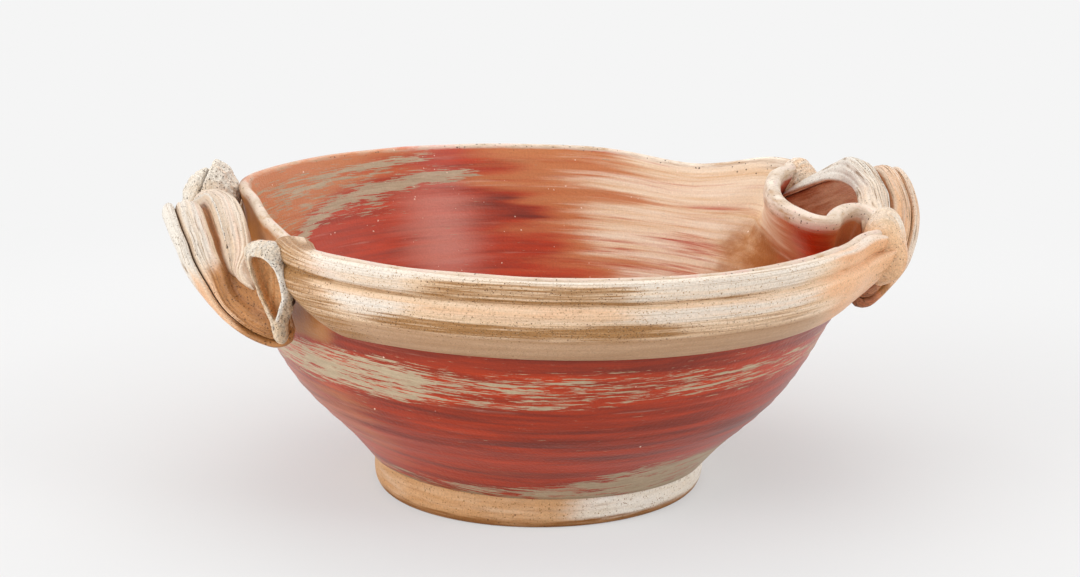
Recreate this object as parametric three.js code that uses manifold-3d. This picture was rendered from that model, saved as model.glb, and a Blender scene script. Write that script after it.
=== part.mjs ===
// A two-handled stoneware bowl: a thrown bowl on a foot ring, a rolled collar
// round the lip, and two ribbed strap handles whose ends are folded into ears.
// Millimetres, +Z up, handles along X, standing on z = 0.
import * as THREE from 'three';
import { mergeVertices } from 'three/addons/utils/BufferGeometryUtils.js';
import Module from 'manifold-3d';

// Bowl
const rimRadius = 167.5; // outside of the lip
const rimHeight = 147; // top of the lip over the table
const wallThickness = 6;
const floorThickness = 9;
const seatRadius = 87.5; // where the wall leaves the foot
const lowWallRadius = 99.5;
const lowWallHeight = 30;
const bellyRadius = 128.5;
const bellyHeight = 60;
const shoulderRadius = 150.5;
const shoulderHeight = 100;
const leanAngle = 1.8; // degrees, towards the right handle
const leanHeight = 40; // the height that stays put as the bowl leans

// Foot ring
const footHeight = 16;
const footRadius = 83; // outside of the resting face
const footSwell = 3.2; // how far the side swells past the resting face
const footBevel = 4.5;
const footWidth = 12; // across the resting face

// The lip's course behind each handle, from front to back: it is pushed in for
// the fingers, and pinched out on both sides of the right handle. A row is an
// angle in degrees from the handle's middle and a share of the lip's radius.
const leftLip = [
  [-37, 1], [-32, 0.99], [-27, 0.963], [-21, 0.932], [-14, 0.905], [-8, 0.894], [0, 0.889],
  [8, 0.895], [14, 0.91], [18, 0.932], [24, 0.97], [30, 0.995], [36, 1],
];
const rightLip = [
  [-39, 1], [-34, 1.01], [-30.5, 1.03], [-28.5, 0.97], [-26.5, 0.87], [-22.5, 0.79], [-16, 0.755],
  [-8, 0.742], [0, 0.758], [10, 0.82], [18, 0.91], [22, 1.01], [25.5, 1.075], [30, 1.05],
  [35, 1.01], [40, 1],
];
const dentDrop = 55; // how far below the lip its course fades out to a circle

// Rolled collar outside the lip
const collarThickness = 8.5;
const collarTopDrop = 5; // below the lip
const collarHeight = 37;
const frontCollarAngle = 31.5; // left end, in degrees from the handle's middle
const collarTipAngle = 27; // the front collar's pinched right end
const backCollarAngle = 29; // both ends
const collarFlare = 6; // how far that end swings out
const collarFlareAngle = 16; // degrees over which it swings out
const collarEndLength = 9; // rounded end, along the rim

// Ribbed handle straps
const strapThickness = 9;
const ledgeThickness = 5; // outer strap, where the inner strap lies on it
const innerStrapThickness = 8;
const strapLap = 1; // how deep the inner strap is pressed before the ledge trims it
const ridgeHeight = 2.4;
const ledgeShare = 0.56; // where the ledge starts across the strap
const innerStrapShare = 0.74; // how much of the strap's run the inner strap covers

// Edges of the strap from the handle's middle to its foot. A row is an angle in
// degrees round the bowl, then out from the wall in shares of the handle's
// reach, and up from the lip in shares of the handle's drop.
const leftReach = 28;
const leftDrop = 49;
const leftOuterEdge = [
  [0, 1, 0.04], [3.5, 0.99, -0.1], [7.9, 0.99, -0.45], [14.5, 0.78, -0.78], [20.6, 0.5, -0.94],
  [26.6, 0.15, -1],
];
const leftInnerEdge = [
  [0, -0.38, 0.02], [4.1, -0.37, 0.02], [9.1, -0.29, 0.02], [16.3, -0.08, 0], [21.1, -0.02, -0.04],
  [25.9, 0.09, -0.08],
];
const rightReach = 29;
const rightDrop = 40;
const rightOuterEdge = [
  [0, 1, 0.15], [3.5, 1.01, 0.05], [7.7, 1.06, -0.28], [14.3, 0.97, -0.7], [20.5, 0.59, -0.95],
  [26.3, 0.3, -1],
];
const rightInnerEdge = [
  [0, -0.34, 0.2], [4, -0.33, 0.2], [9, -0.24, 0.18], [15.9, 0.01, 0.1], [20.9, 0.03, 0],
  [25.7, 0.1, -0.08],
];

// Ears folded over the ends of the straps. An ear's middle lies at an angle in
// degrees from the handle's middle, out from the wall and down from the lip,
// and the ear is tilted in its own plane.
const leftFrontEar = {
  width: 21, height: 49, thickness: 25, angle: 25.5, out: 8, drop: 25, tilt: 14, scoop: 7,
};
const leftBackEar = {
  width: 29, height: 42, thickness: 30, angle: -23, out: 11.3, drop: 12, tilt: 0, scoop: 0,
};
const rightFrontEar = {
  width: 30, height: 34, thickness: 21, angle: -21.5, out: 9.2, drop: 9, tilt: 0, scoop: 0,
};
const rightBackEar = {
  width: 28, height: 42, thickness: 25, angle: 24, out: 18, drop: 15, tilt: 0, scoop: 0,
};

const jointGap = 0.3; // between pieces that touch

const wasm = await Module();
wasm.setup();

const radians = THREE.MathUtils.degToRad;
const smooth = THREE.MathUtils.smoothstep;

// Keep only the positions of a geometry, with shared corners merged.
function welded(geometry) {
  const bare = geometry.clone();
  bare.deleteAttribute('normal');
  bare.deleteAttribute('uv');
  return mergeVertices(bare, 1e-4);
}

// Enclosed volume, negative when the faces point in.
function signedVolume(geometry) {
  const at = geometry.attributes.position;
  const index = geometry.index.array;
  const a = new THREE.Vector3();
  const b = new THREE.Vector3();
  const c = new THREE.Vector3();
  let sum = 0;
  for (let i = 0; i < index.length; i += 3) {
    a.fromBufferAttribute(at, index[i]);
    b.fromBufferAttribute(at, index[i + 1]);
    c.fromBufferAttribute(at, index[i + 2]);
    sum += a.dot(b.cross(c)) / 6;
  }
  return sum;
}

// A closed geometry as a solid that can be joined and cut.
function toSolid(geometry) {
  const bare = welded(geometry);
  const triVerts = Uint32Array.from(bare.index.array);
  if (signedVolume(bare) < 0) triVerts.reverse();
  const vertProperties = Float32Array.from(bare.attributes.position.array);
  return new wasm.Manifold(new wasm.Mesh({ numProp: 3, vertProperties, triVerts }));
}

// The largest body of a solid, as a geometry.
function toGeometry(solid) {
  const bodies = solid.decompose();
  bodies.sort((one, other) => other.volume() - one.volume());
  const mesh = bodies[0].simplify(0.04).getMesh();
  const geometry = new THREE.BufferGeometry();
  const positions = new THREE.BufferAttribute(Float32Array.from(mesh.vertProperties), 3);
  geometry.setAttribute('position', positions);
  geometry.setIndex(Array.from(mesh.triVerts));
  geometry.computeVertexNormals();
  return geometry;
}

// Move every corner of a geometry.
function reshape(geometry, move) {
  const at = geometry.attributes.position;
  const point = new THREE.Vector3();
  for (let i = 0; i < at.count; i += 1) {
    point.fromBufferAttribute(at, i);
    move(point);
    at.setXYZ(i, point.x, point.y, point.z);
  }
  return geometry;
}

// A profile of [radius, height] points turned round the Z axis.
function turned(profile, segments) {
  const points = profile.map(([radius, height]) => new THREE.Vector2(radius, height));
  return new THREE.LatheGeometry(points, segments).rotateX(Math.PI / 2);
}

// A closed bar: a plain cylinder whose rings become the sections given for
// 0 to 1 along it. Each section is a loop of points.
function bar(section, around, along) {
  const rings = Array.from({ length: along + 1 }, (_, i) => section(i / along));
  const middles = rings.map((ring) => {
    const sum = new THREE.Vector3();
    ring.forEach((point) => sum.add(point));
    return sum.divideScalar(ring.length);
  });
  const cylinder = new THREE.CylinderGeometry(1, 1, 1, around, along);
  return reshape(cylinder, (point) => {
    const ring = Math.round((0.5 - point.y) * along);
    const turn = Math.atan2(point.x, point.z) / (2 * Math.PI);
    const place = ((Math.round(turn * around) % around) + around) % around;
    const onAxis = Math.hypot(point.x, point.z) < 0.5;
    point.copy(onAxis ? middles[ring] : rings[ring][place]);
  });
}

// The outside of the wall from the foot to the lip.
const wallCurve = new THREE.SplineCurve([
  new THREE.Vector2(seatRadius, footHeight),
  new THREE.Vector2(lowWallRadius, lowWallHeight),
  new THREE.Vector2(bellyRadius, bellyHeight),
  new THREE.Vector2(shoulderRadius, shoulderHeight),
  new THREE.Vector2(rimRadius, rimHeight - wallThickness / 2),
]);

// Points along the wall, moved square to it.
function wallPoints(offset, count) {
  return Array.from({ length: count + 1 }, (_, i) => {
    const point = wallCurve.getPointAt(i / count);
    const along = wallCurve.getTangentAt(i / count);
    return [point.x + along.y * offset, point.y - along.x * offset];
  });
}

// Radius of the wall's outside at a height.
function wallRadiusAt(height) {
  const points = wallPoints(0, 60);
  const after = points.findIndex((point) => point[1] >= height);
  if (after < 1) return points[after < 0 ? points.length - 1 : 0][0];
  const [r0, z0] = points[after - 1];
  const [r1, z1] = points[after];
  return r0 + ((r1 - r0) * (height - z0)) / (z1 - z0);
}

// A share of the lip's radius at an angle in degrees from a handle's middle.
function lipShareFrom(rows) {
  const angles = rows.map((row) => row[0]);
  const shares = rows.map((row) => row[1]);
  const course = new THREE.CubicInterpolant(angles, shares, 1, new Float32Array(1));
  return (angle) => (
    angle <= angles[0] || angle >= angles.at(-1) ? 1 : course.evaluate(angle)[0]
  );
}

const leftLipShare = lipShareFrom(leftLip);
const rightLipShare = lipShareFrom(rightLip);

function lipShare(turn) {
  const across = Math.cos(turn);
  const side = THREE.MathUtils.radToDeg(Math.atan2(Math.sin(turn), Math.abs(across)));
  return across > 0 ? rightLipShare(side) : leftLipShare(side);
}

// Move a point of the round bowl to where the altered lip takes it, keeping its
// distance from the middle of the wall.
function alter(point) {
  const turn = Math.atan2(point.y, point.x);
  const rise = smooth(point.z, rimHeight - dentDrop, rimHeight);
  const distance = Math.hypot(point.x, point.y);
  if (rise === 0 || distance < 1) return;
  const roundRadius = wallRadiusAt(point.z) - wallThickness / 2;
  const lipRadius = rimRadius - wallThickness / 2;
  const radiusAt = (at) => roundRadius + rise * lipRadius * (lipShare(at) - 1);
  const step = 0.005;
  const radius = radiusAt(turn);
  const slope = (radiusAt(turn + step) - radiusAt(turn - step)) / (2 * step);
  const off = (distance - roundRadius) / Math.hypot(radius, slope);
  const out = radius + radius * off;
  const aside = -slope * off;
  point.x = out * Math.cos(turn) - aside * Math.sin(turn);
  point.y = out * Math.sin(turn) + aside * Math.cos(turn);
}

const bowlSegments = 132;
const footSegments = 72;
const wallSteps = 10;

// Turns at even distances along the altered lip, so that its folds are smooth.
const lipTurns = (() => {
  const samples = Array.from({ length: 1441 }, (_, i) => (2 * Math.PI * i) / 1440);
  const points = samples.map((turn) => new THREE.Vector3(
    rimRadius * lipShare(turn) * Math.cos(turn),
    rimRadius * lipShare(turn) * Math.sin(turn),
    0,
  ));
  const runs = [0];
  points.slice(1).forEach((point, i) => runs.push(runs[i] + point.distanceTo(points[i])));
  const turnAt = new THREE.LinearInterpolant(runs, samples, 1, new Float64Array(1));
  const even = (_, i) => turnAt.evaluate((runs.at(-1) * i) / bowlSegments)[0];
  return Array.from({ length: bowlSegments }, even);
})();

// A turned form with its corners moved to the even turns, and altered.
function alteredForm(profile) {
  return reshape(turned(profile, bowlSegments), (point) => {
    const distance = Math.hypot(point.x, point.y);
    const share = Math.atan2(point.y, point.x) / (2 * Math.PI);
    const place = (Math.round(share * bowlSegments) + bowlSegments) % bowlSegments;
    point.x = distance * Math.cos(lipTurns[place]);
    point.y = distance * Math.sin(lipTurns[place]);
    alter(point);
  });
}

// The bowl: underside, wall, rounded lip, inside and floor.
function bowlSolid() {
  const inside = wallPoints(-wallThickness, wallSteps);
  const floor = footHeight + floorThickness;
  const innerWall = inside.filter((point) => point[1] > floor + wallThickness / 3).reverse();
  const lip = [rimRadius - wallThickness / 2, rimHeight];
  const profile = [
    [0, footHeight],
    [seatRadius * 0.5, footHeight],
    ...wallPoints(0, wallSteps),
    lip,
    ...innerWall,
    [innerWall.at(-1)[0] * 0.86, floor],
    [0, floor],
  ];
  return toSolid(alteredForm(profile));
}

// Everything inside the outer wall, grown by the joint gap: it trims what is
// luted on to the wall.
function wallCore() {
  const grown = wallPoints(jointGap, wallSteps);
  const profile = [
    [0, footHeight - jointGap],
    [grown[0][0], footHeight - jointGap],
    ...grown,
    [rimRadius - wallThickness / 2, rimHeight + jointGap],
    [0, rimHeight + jointGap],
  ];
  return alteredForm(profile);
}

// The foot ring, taller than it shows: the leaning bowl trims its top.
function footGeometry() {
  const top = footHeight + footBevel;
  const profile = [
    [footRadius - footWidth, 0],
    [footRadius, 0],
    [footRadius + footSwell * 0.8, footBevel],
    [footRadius + footSwell, footHeight * 0.6],
    [seatRadius * 0.994, footHeight],
    [seatRadius, top],
    [footRadius - footWidth * 1.25, top],
    [footRadius - footWidth * 1.25, footBevel],
    [footRadius - footWidth, 0],
  ];
  return turned(profile, footSegments);
}

// Outline of the collar as out from the wall and down from the lip.
const collarOutline = [
  [0, collarTopDrop * 0.8],
  [collarThickness * 0.55, collarTopDrop * 1.2],
  [collarThickness * 0.7, collarTopDrop + collarHeight * 0.11],
  [collarThickness * 1.05, collarTopDrop + collarHeight * 0.2],
  [collarThickness * 1.15, collarTopDrop + collarHeight * 0.34],
  [collarThickness * 1.1, collarTopDrop + collarHeight * 0.55],
  [collarThickness * 0.95, collarTopDrop + collarHeight * 0.74],
  [collarThickness * 0.6, collarTopDrop + collarHeight * 0.9],
  [0, collarTopDrop + collarHeight],
  [collarThickness * -0.47, collarTopDrop + collarHeight * 0.8],
  [collarThickness * -0.47, collarTopDrop + collarHeight * 0.5],
  [collarThickness * -0.47, collarTopDrop + collarHeight * 0.2],
];
const collarSteps = 30;

// A collar from one angle to another, in degrees, grown outwards by a margin.
// Its far end swings out by the flare.
function collarBar(from, to, flare, grow) {
  const middleDrop = collarTopDrop + collarHeight / 2;
  const spare = THREE.MathUtils.radToDeg(grow / rimRadius);
  const start = from - spare;
  const sweep = to - from + 2 * spare;
  const length = radians(sweep) * rimRadius;
  const section = (share) => {
    const angle = radians(start + sweep * share);
    const fromEnd = Math.min(share, 1 - share) * length;
    const fill = Math.min(1, 0.7 + 0.3 * Math.sqrt(fromEnd / collarEndLength));
    const swing = flare * smooth(start + sweep * share, to - collarFlareAngle, to);
    return collarOutline.map(([out, drop]) => {
      const height = rimHeight - middleDrop - (drop - middleDrop) * fill;
      const spread = Math.sign(middleDrop - drop) * grow;
      const radius = wallRadiusAt(height) + (out > 0 ? out * fill + grow + swing : out);
      const z = height + (out >= 0 ? spread : 0);
      return new THREE.Vector3(radius * Math.cos(angle), radius * Math.sin(angle), z);
    });
  };
  return reshape(bar(section, collarOutline.length, collarSteps), alter);
}

// A strap edge from foot to foot, as a curve in the right handle's place.
function edgeCurve(rows, reach, drop) {
  const half = rows.map(([angle, out, up]) => {
    const height = rimHeight + up * drop;
    const radius = wallRadiusAt(height) + out * reach;
    const turn = radians(angle);
    return new THREE.Vector3(radius * Math.cos(turn), radius * Math.sin(turn), height);
  });
  const mirrored = half.slice(1).reverse().map((p) => new THREE.Vector3(p.x, -p.y, p.z));
  return new THREE.CatmullRomCurve3([...mirrored, ...half], false, 'centripetal');
}

// A strap: an outline of [share across, height over the underside] points
// carried along the two edges, from and to in shares of their length.
function strapBar(edges, outline, from, to, steps) {
  const [outerEdge, innerEdge] = edges;
  const section = (share) => {
    const t = from + (to - from) * share;
    const outer = outerEdge.getPoint(t);
    const inner = innerEdge.getPoint(t);
    const across = inner.clone().sub(outer);
    const along = outerEdge.getTangent(t).add(innerEdge.getTangent(t)).normalize();
    const out = new THREE.Vector3().crossVectors(across, along).normalize();
    if (out.x + out.z < 0) out.negate();
    return outline.map(([place, height]) => (
      outer.clone().addScaledVector(across, place).addScaledVector(out, height)
    ));
  };
  return bar(section, outline.length, steps);
}

// The outer strap's outline, with its top and its inner side grown by a margin.
const outerStrapOutline = (raise) => [
  [0.02, 0],
  [-0.06, strapThickness * 0.5],
  [0.02, strapThickness - ridgeHeight * 0.5 + raise],
  [0.13, strapThickness + raise],
  [0.25, strapThickness - ridgeHeight + raise],
  [0.38, strapThickness + raise],
  [0.48, strapThickness - ridgeHeight + raise],
  [ledgeShare - 0.01, ledgeThickness + raise],
  [0.8, ledgeThickness + raise],
  [1 + raise / strapThickness, ledgeThickness + raise],
  [1 + raise / strapThickness, -raise],
  [0.5, -raise],
];

// The inner strap's outline reaches into the ledge, which trims it.
const innerStrapBase = ledgeThickness - strapLap;
const innerStrapTop = ledgeThickness + innerStrapThickness;
const innerStrapOutline = [
  [ledgeShare + 0.01, innerStrapBase],
  [ledgeShare, innerStrapTop - ridgeHeight],
  [ledgeShare + 0.1, innerStrapTop],
  [ledgeShare + 0.2, innerStrapTop - ridgeHeight],
  [ledgeShare + 0.32, innerStrapTop],
  [1.02, innerStrapTop - ridgeHeight],
  [1.05, innerStrapBase + innerStrapThickness * 0.25],
  [1, innerStrapBase],
  [0.8, innerStrapBase],
];

// An ellipsoid with its middle at an ear's place, moved out by some more.
function earBlob(ear, halfSizes, more) {
  const angle = radians(ear.angle);
  const radius = wallRadiusAt(rimHeight - ear.drop) + ear.out + more;
  const blob = new THREE.SphereGeometry(1, 16, 12).rotateX(Math.PI / 2);
  blob.scale(...halfSizes);
  blob.rotateX(radians(ear.tilt));
  blob.rotateZ(angle);
  return blob.translate(radius * Math.cos(angle), radius * Math.sin(angle), rimHeight - ear.drop);
}

// The lump of an ear, grown by a margin.
function earLump(ear, grow) {
  const halfSizes = [ear.thickness, ear.width, ear.height].map((size) => size / 2 + grow);
  return earBlob(ear, halfSizes, 0);
}

// The hollow of a scooped ear, on its outer face.
function earScoop(ear) {
  return earBlob(ear, [ear.scoop, ear.width * 0.26, ear.height * 0.36], ear.thickness / 2);
}

const halfTurn = (geometry) => geometry.rotateZ(Math.PI);
const asIs = (geometry) => geometry;

const frontCollar = (grow) => (
  toSolid(collarBar(180 + frontCollarAngle, 360 - collarTipAngle, collarFlare, grow))
);
const backCollar = (grow) => (
  toSolid(collarBar(backCollarAngle, 180 - backCollarAngle, 0, grow))
);
const core = toSolid(wallCore());
const collarCuts = [frontCollar(jointGap), backCollar(jointGap)];

const cutBy = (solid, cuts) => cuts.reduce((rest, cut) => rest.subtract(cut), solid);

const strapSteps = 30;

// One handle: two straps and two ears. The collars trim the ears, and both
// trim the straps.
function handle(place, edges, earSizes) {
  const ears = earSizes.map((ear) => {
    const lump = toSolid(place(earLump(ear, 0)));
    const scooped = ear.scoop > 0 ? lump.subtract(toSolid(place(earScoop(ear)))) : lump;
    return cutBy(scooped, [core, ...collarCuts]);
  });
  const earCuts = earSizes.map((ear) => toSolid(place(earLump(ear, jointGap))));
  const trim = (geometry) => cutBy(toSolid(place(geometry)), [core, ...collarCuts, ...earCuts]);
  const ledge = toSolid(place(strapBar(edges, outerStrapOutline(jointGap), 0, 1, strapSteps)));
  const skipped = (1 - innerStrapShare) / 2;
  const innerSteps = Math.round(strapSteps * innerStrapShare);
  const innerBar = strapBar(edges, innerStrapOutline, skipped, 1 - skipped, innerSteps);
  return {
    outerStrap: trim(strapBar(edges, outerStrapOutline(0), 0, 1, strapSteps)),
    innerStrap: trim(innerBar).subtract(ledge),
    frontEar: ears[0],
    backEar: ears[1],
  };
}

const leftEdges = [leftOuterEdge, leftInnerEdge].map((rows) => edgeCurve(rows, leftReach, leftDrop));
const rightEdges = [rightOuterEdge, rightInnerEdge].map((rows) => (
  edgeCurve(rows, rightReach, rightDrop)
));
const leftHandle = handle(halfTurn, leftEdges, [leftFrontEar, leftBackEar]);
const rightHandle = handle(asIs, rightEdges, [rightFrontEar, rightBackEar]);

const slipGlaze = { color: 0xa8432f, roughness: 0.38, metalness: 0 };
const bareClay = { color: 0xdcc8aa, roughness: 0.7, metalness: 0 };
const saltGlaze = { color: 0xd9b894, roughness: 0.42, metalness: 0 };
const strapGlaze = { color: 0xdcb791, roughness: 0.4, metalness: 0 };
const foldGlaze = { color: 0xe0cdb2, roughness: 0.45, metalness: 0 };

function piece(name, geometry, finish) {
  const mesh = new THREE.Mesh(geometry, new THREE.MeshStandardMaterial(finish));
  mesh.name = name;
  return mesh;
}

// The leaning part of the bowl turns about a level below its belly.
const lean = new THREE.Matrix4().makeTranslation(0, 0, leanHeight)
  .multiply(new THREE.Matrix4().makeRotationY(radians(leanAngle)))
  .multiply(new THREE.Matrix4().makeTranslation(0, 0, -leanHeight));

const leaning = new THREE.Group();
leaning.applyMatrix4(lean);
leaning.add(
  piece('bowl_body', toGeometry(bowlSolid()), slipGlaze),
  piece('front_collar', toGeometry(frontCollar(0).subtract(core)), saltGlaze),
  piece('back_collar', toGeometry(backCollar(0).subtract(core)), saltGlaze),
  piece('left_outer_strap', toGeometry(leftHandle.outerStrap), strapGlaze),
  piece('left_inner_strap', toGeometry(leftHandle.innerStrap), strapGlaze),
  piece('left_front_ear', toGeometry(leftHandle.frontEar), foldGlaze),
  piece('left_back_ear', toGeometry(leftHandle.backEar), foldGlaze),
  piece('right_outer_strap', toGeometry(rightHandle.outerStrap), strapGlaze),
  piece('right_inner_strap', toGeometry(rightHandle.innerStrap), strapGlaze),
  piece('right_front_ear', toGeometry(rightHandle.frontEar), foldGlaze),
  piece('right_back_ear', toGeometry(rightHandle.backEar), foldGlaze),
);

const leaningCore = toSolid(wallCore().applyMatrix4(lean));
const foot = toGeometry(toSolid(footGeometry()).subtract(leaningCore));

const bowl = new THREE.Group();
bowl.add(leaning, piece('foot_ring', foot, bareClay));

// The middle of the outline is the origin, on the table.
bowl.updateMatrixWorld(true);
const outline = new THREE.Box3().setFromObject(bowl, true);
const middle = outline.getCenter(new THREE.Vector3());
bowl.position.set(-middle.x, -middle.y, -outline.min.z);

export default bowl;
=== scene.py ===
"""A two-handled stoneware bowl, dressed for the camera.

The bowl was thrown on the wheel, altered while soft and fired once in a salt
kiln: a red slipped bowl on a bare foot, a rolled collar outside the lip, and two
ribbed strap handles whose ends are folded into ears. Sizes are in millimetres
and angles in degrees, and every mesh is written in metres, in the frame of the
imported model.
"""

from __future__ import annotations

import logging
import math
from dataclasses import dataclass, field
from enum import Enum

import bpy
import numpy as np
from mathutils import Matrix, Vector, noise


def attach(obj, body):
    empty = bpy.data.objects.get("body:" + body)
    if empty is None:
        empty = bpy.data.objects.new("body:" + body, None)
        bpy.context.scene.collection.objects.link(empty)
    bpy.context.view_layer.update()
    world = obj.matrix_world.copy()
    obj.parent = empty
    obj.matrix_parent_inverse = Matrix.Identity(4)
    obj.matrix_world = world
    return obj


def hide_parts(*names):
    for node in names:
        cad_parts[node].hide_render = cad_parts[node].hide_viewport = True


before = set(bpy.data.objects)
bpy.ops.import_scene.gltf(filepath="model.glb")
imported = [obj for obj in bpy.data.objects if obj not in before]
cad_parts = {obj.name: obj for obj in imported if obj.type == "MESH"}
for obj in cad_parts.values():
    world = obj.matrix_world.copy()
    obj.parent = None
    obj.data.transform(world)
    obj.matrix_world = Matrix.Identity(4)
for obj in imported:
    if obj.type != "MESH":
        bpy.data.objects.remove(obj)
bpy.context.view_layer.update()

LOG = logging.getLogger("bowl")
Socket = bpy.types.NodeSocket
MM = 0.001
FRONT_TURN = -104.5  # turn of the side that faces the camera, from +X
BODY = "root"


def linear(code: str) -> tuple[float, float, float, float]:
    """Turns an sRGB hex colour to linear.

    Args:
        code: Colour such as "#a9432f".

    Returns:
        Linear red, green, blue and a full alpha.
    """
    parts = [int(code[i : i + 2], 16) / 255 for i in (1, 3, 5)]
    red, green, blue = [p / 12.92 if p <= 0.04045 else ((p + 0.055) / 1.055) ** 2.4 for p in parts]
    return red, green, blue, 1.0


def ease(value: np.ndarray, low: float, high: float) -> np.ndarray:
    """Rises smoothly from 0 at low to 1 at high."""
    share = np.clip((value - low) / (high - low), 0.0, 1.0)
    return share * share * (3.0 - 2.0 * share)


def bell(value: np.ndarray, middle: float, spread: float) -> np.ndarray:
    """A soft hump of height 1 round a middle."""
    return np.exp(-(((value - middle) / spread) ** 2))


def between(value: np.ndarray, low: float, high: float, soft: float) -> np.ndarray:
    """1 from low to high, with soft shoulders."""
    return ease(value, low - soft, low + soft) * (1.0 - ease(value, high - soft, high + soft))


def wander(points: np.ndarray, size: float, seed: float) -> np.ndarray:
    """Slow unevenness of hand work.

    Args:
        points: Places in millimetres, one row each.
        size: Size of a swell in millimetres.
        seed: Moves the pattern.

    Returns:
        A number from about -1 to 1 for each place.
    """
    shift = Vector((seed * 3.7, seed * 1.9, seed * 5.3))
    return np.array([noise.noise(Vector(p) / size + shift) for p in points])


def wrap(turn: np.ndarray) -> np.ndarray:
    """Brings turns in degrees to the stretch from -180 to 180."""
    return (turn + 180.0) % 360.0 - 180.0


def follow(line: np.ndarray, runs: np.ndarray, at: np.ndarray) -> np.ndarray:
    """Reads points off a line."""
    return np.stack([np.interp(at, runs, column) for column in line.T], axis=-1)


def smooth_line(points: list | tuple | np.ndarray, count: int) -> np.ndarray:
    """Draws a smooth line through points and spaces it evenly.

    Args:
        points: Points that the line goes through.
        count: How many points to return.

    Returns:
        Points along the line, one row each.
    """
    through = np.asarray(points, float)
    padded = np.vstack([2 * through[0] - through[1], through, 2 * through[-1] - through[-2]])
    share = np.linspace(0.0, 1.0, 40, endpoint=False)[:, None]
    runs = []
    for p0, p1, p2, p3 in zip(padded, padded[1:], padded[2:], padded[3:]):
        t1 = np.linalg.norm(p1 - p0) ** 0.5
        t2 = t1 + np.linalg.norm(p2 - p1) ** 0.5
        t3 = t2 + np.linalg.norm(p3 - p2) ** 0.5
        t = t1 + share * (t2 - t1)
        a1 = (t1 - t) / t1 * p0 + t / t1 * p1
        a2 = (t2 - t) / (t2 - t1) * p1 + (t - t1) / (t2 - t1) * p2
        a3 = (t3 - t) / (t3 - t2) * p2 + (t - t2) / (t3 - t2) * p3
        b1 = (t2 - t) / t2 * a1 + t / t2 * a2
        b2 = (t3 - t) / (t3 - t1) * a2 + (t - t1) / (t3 - t1) * a3
        runs.append((t2 - t) / (t2 - t1) * b1 + (t - t1) / (t2 - t1) * b2)
    fine = np.vstack([*runs, through[-1:]])
    run = np.concatenate([[0.0], np.cumsum(np.linalg.norm(np.diff(fine, axis=0), axis=1))])
    return follow(fine, run, np.linspace(0.0, run[-1], count))


@dataclass(frozen=True)
class Nodes:
    """Wires up the nodes of a material or the world."""

    tree: bpy.types.NodeTree

    def __post_init__(self) -> None:
        """Clears what the tree starts with."""
        self.tree.nodes.clear()

    def add(self, kind: str, wires: dict, **settings: object) -> bpy.types.Node:
        """Adds a node with its settings and links.

        Args:
            kind: Blender's name for the node.
            wires: Input name or number, with a value or the output that feeds it.
            settings: Properties of the node.

        Returns:
            The new node.
        """
        node = self.tree.nodes.new(kind)
        for name, value in settings.items():
            setattr(node, name, value)
        for key, value in wires.items():
            if isinstance(value, Socket):
                self.tree.links.new(value, node.inputs[key])
            else:
                node.inputs[key].default_value = value
        return node

    def read(self, layer: str, output: str = "Fac") -> Socket:
        """Reads a painted mask, or another layer, of the piece."""
        return self.add("ShaderNodeAttribute", {}, attribute_name=layer).outputs[output]

    def spot(self) -> Socket:
        """Place in the piece, in metres."""
        return self.add("ShaderNodeTexCoord", {}).outputs["Object"]

    def math(self, operation: str, *values: Socket | float) -> Socket:
        """Works out a number from numbers."""
        return self.add("ShaderNodeMath", dict(enumerate(values)), operation=operation).outputs[0]

    def vector(self, operation: str, *values: Socket | tuple) -> Socket:
        """Works out a vector from vectors."""
        wires = dict(enumerate(values))
        return self.add("ShaderNodeVectorMath", wires, operation=operation).outputs[0]

    def spread(
        self, value: Socket, low: float, high: float, start: float = 0.0, **settings: object
    ) -> Socket:
        """Maps the numbers from low to high to those from start to 1."""
        wires = {"Value": value, "From Min": low, "From Max": high, "To Min": start}
        return self.add("ShaderNodeMapRange", wires, **settings).outputs[0]

    def blend(
        self,
        share: Socket | float,
        low: Socket | tuple,
        high: Socket | tuple,
        **settings: object,
    ) -> Socket:
        """Blends from one colour to another."""
        wires = {0: share, 6: low, 7: high}
        return self.add("ShaderNodeMix", wires, data_type="RGBA", **settings).outputs[2]

    def cloud(self, spot: Socket, size: float, detail: float) -> bpy.types.Node:
        """Adds noise with swells of a size in millimetres."""
        wires = {"Vector": spot, "Scale": 1000 / size, "Detail": detail}
        return self.add("ShaderNodeTexNoise", wires)

    def background_rays(self) -> Socket:
        """Tells the rays that show the background from those that carry its light.

        Returns:
            1 for rays from the camera, in gloss or through glass, and 0 for others.
        """
        path = self.add("ShaderNodeLightPath", {})
        seen = path.outputs["Is Camera Ray"]
        for ray in ("Is Glossy Ray", "Is Transmission Ray"):
            seen = self.math("MAXIMUM", seen, path.outputs[ray])
        return seen


@dataclass(frozen=True)
class Coat:
    """A coat of slip, glaze or flashing, or of painted light and shade, that lies where a painted mask
    says.

    The mask is moved up and down by a breakup of brush-like streaks, and the coat
    shows where the sum passes one half.
    """

    mask: str
    colour: str
    second: str
    length: float  # of a streak, in millimetres
    width: float  # of a streak, in millimetres
    ragged: float  # how far the breakup moves the mask
    edge: float  # softness of the coat's edge
    roughness: float


@dataclass(frozen=True)
class Specks:
    """Iron specks or pinholes scattered where a painted mask says."""

    mask: str
    colour: str
    spacing: float  # millimetres
    reach: float  # radius of a speck as a share of the spacing
    chance: float  # share of the places that hold one


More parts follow.
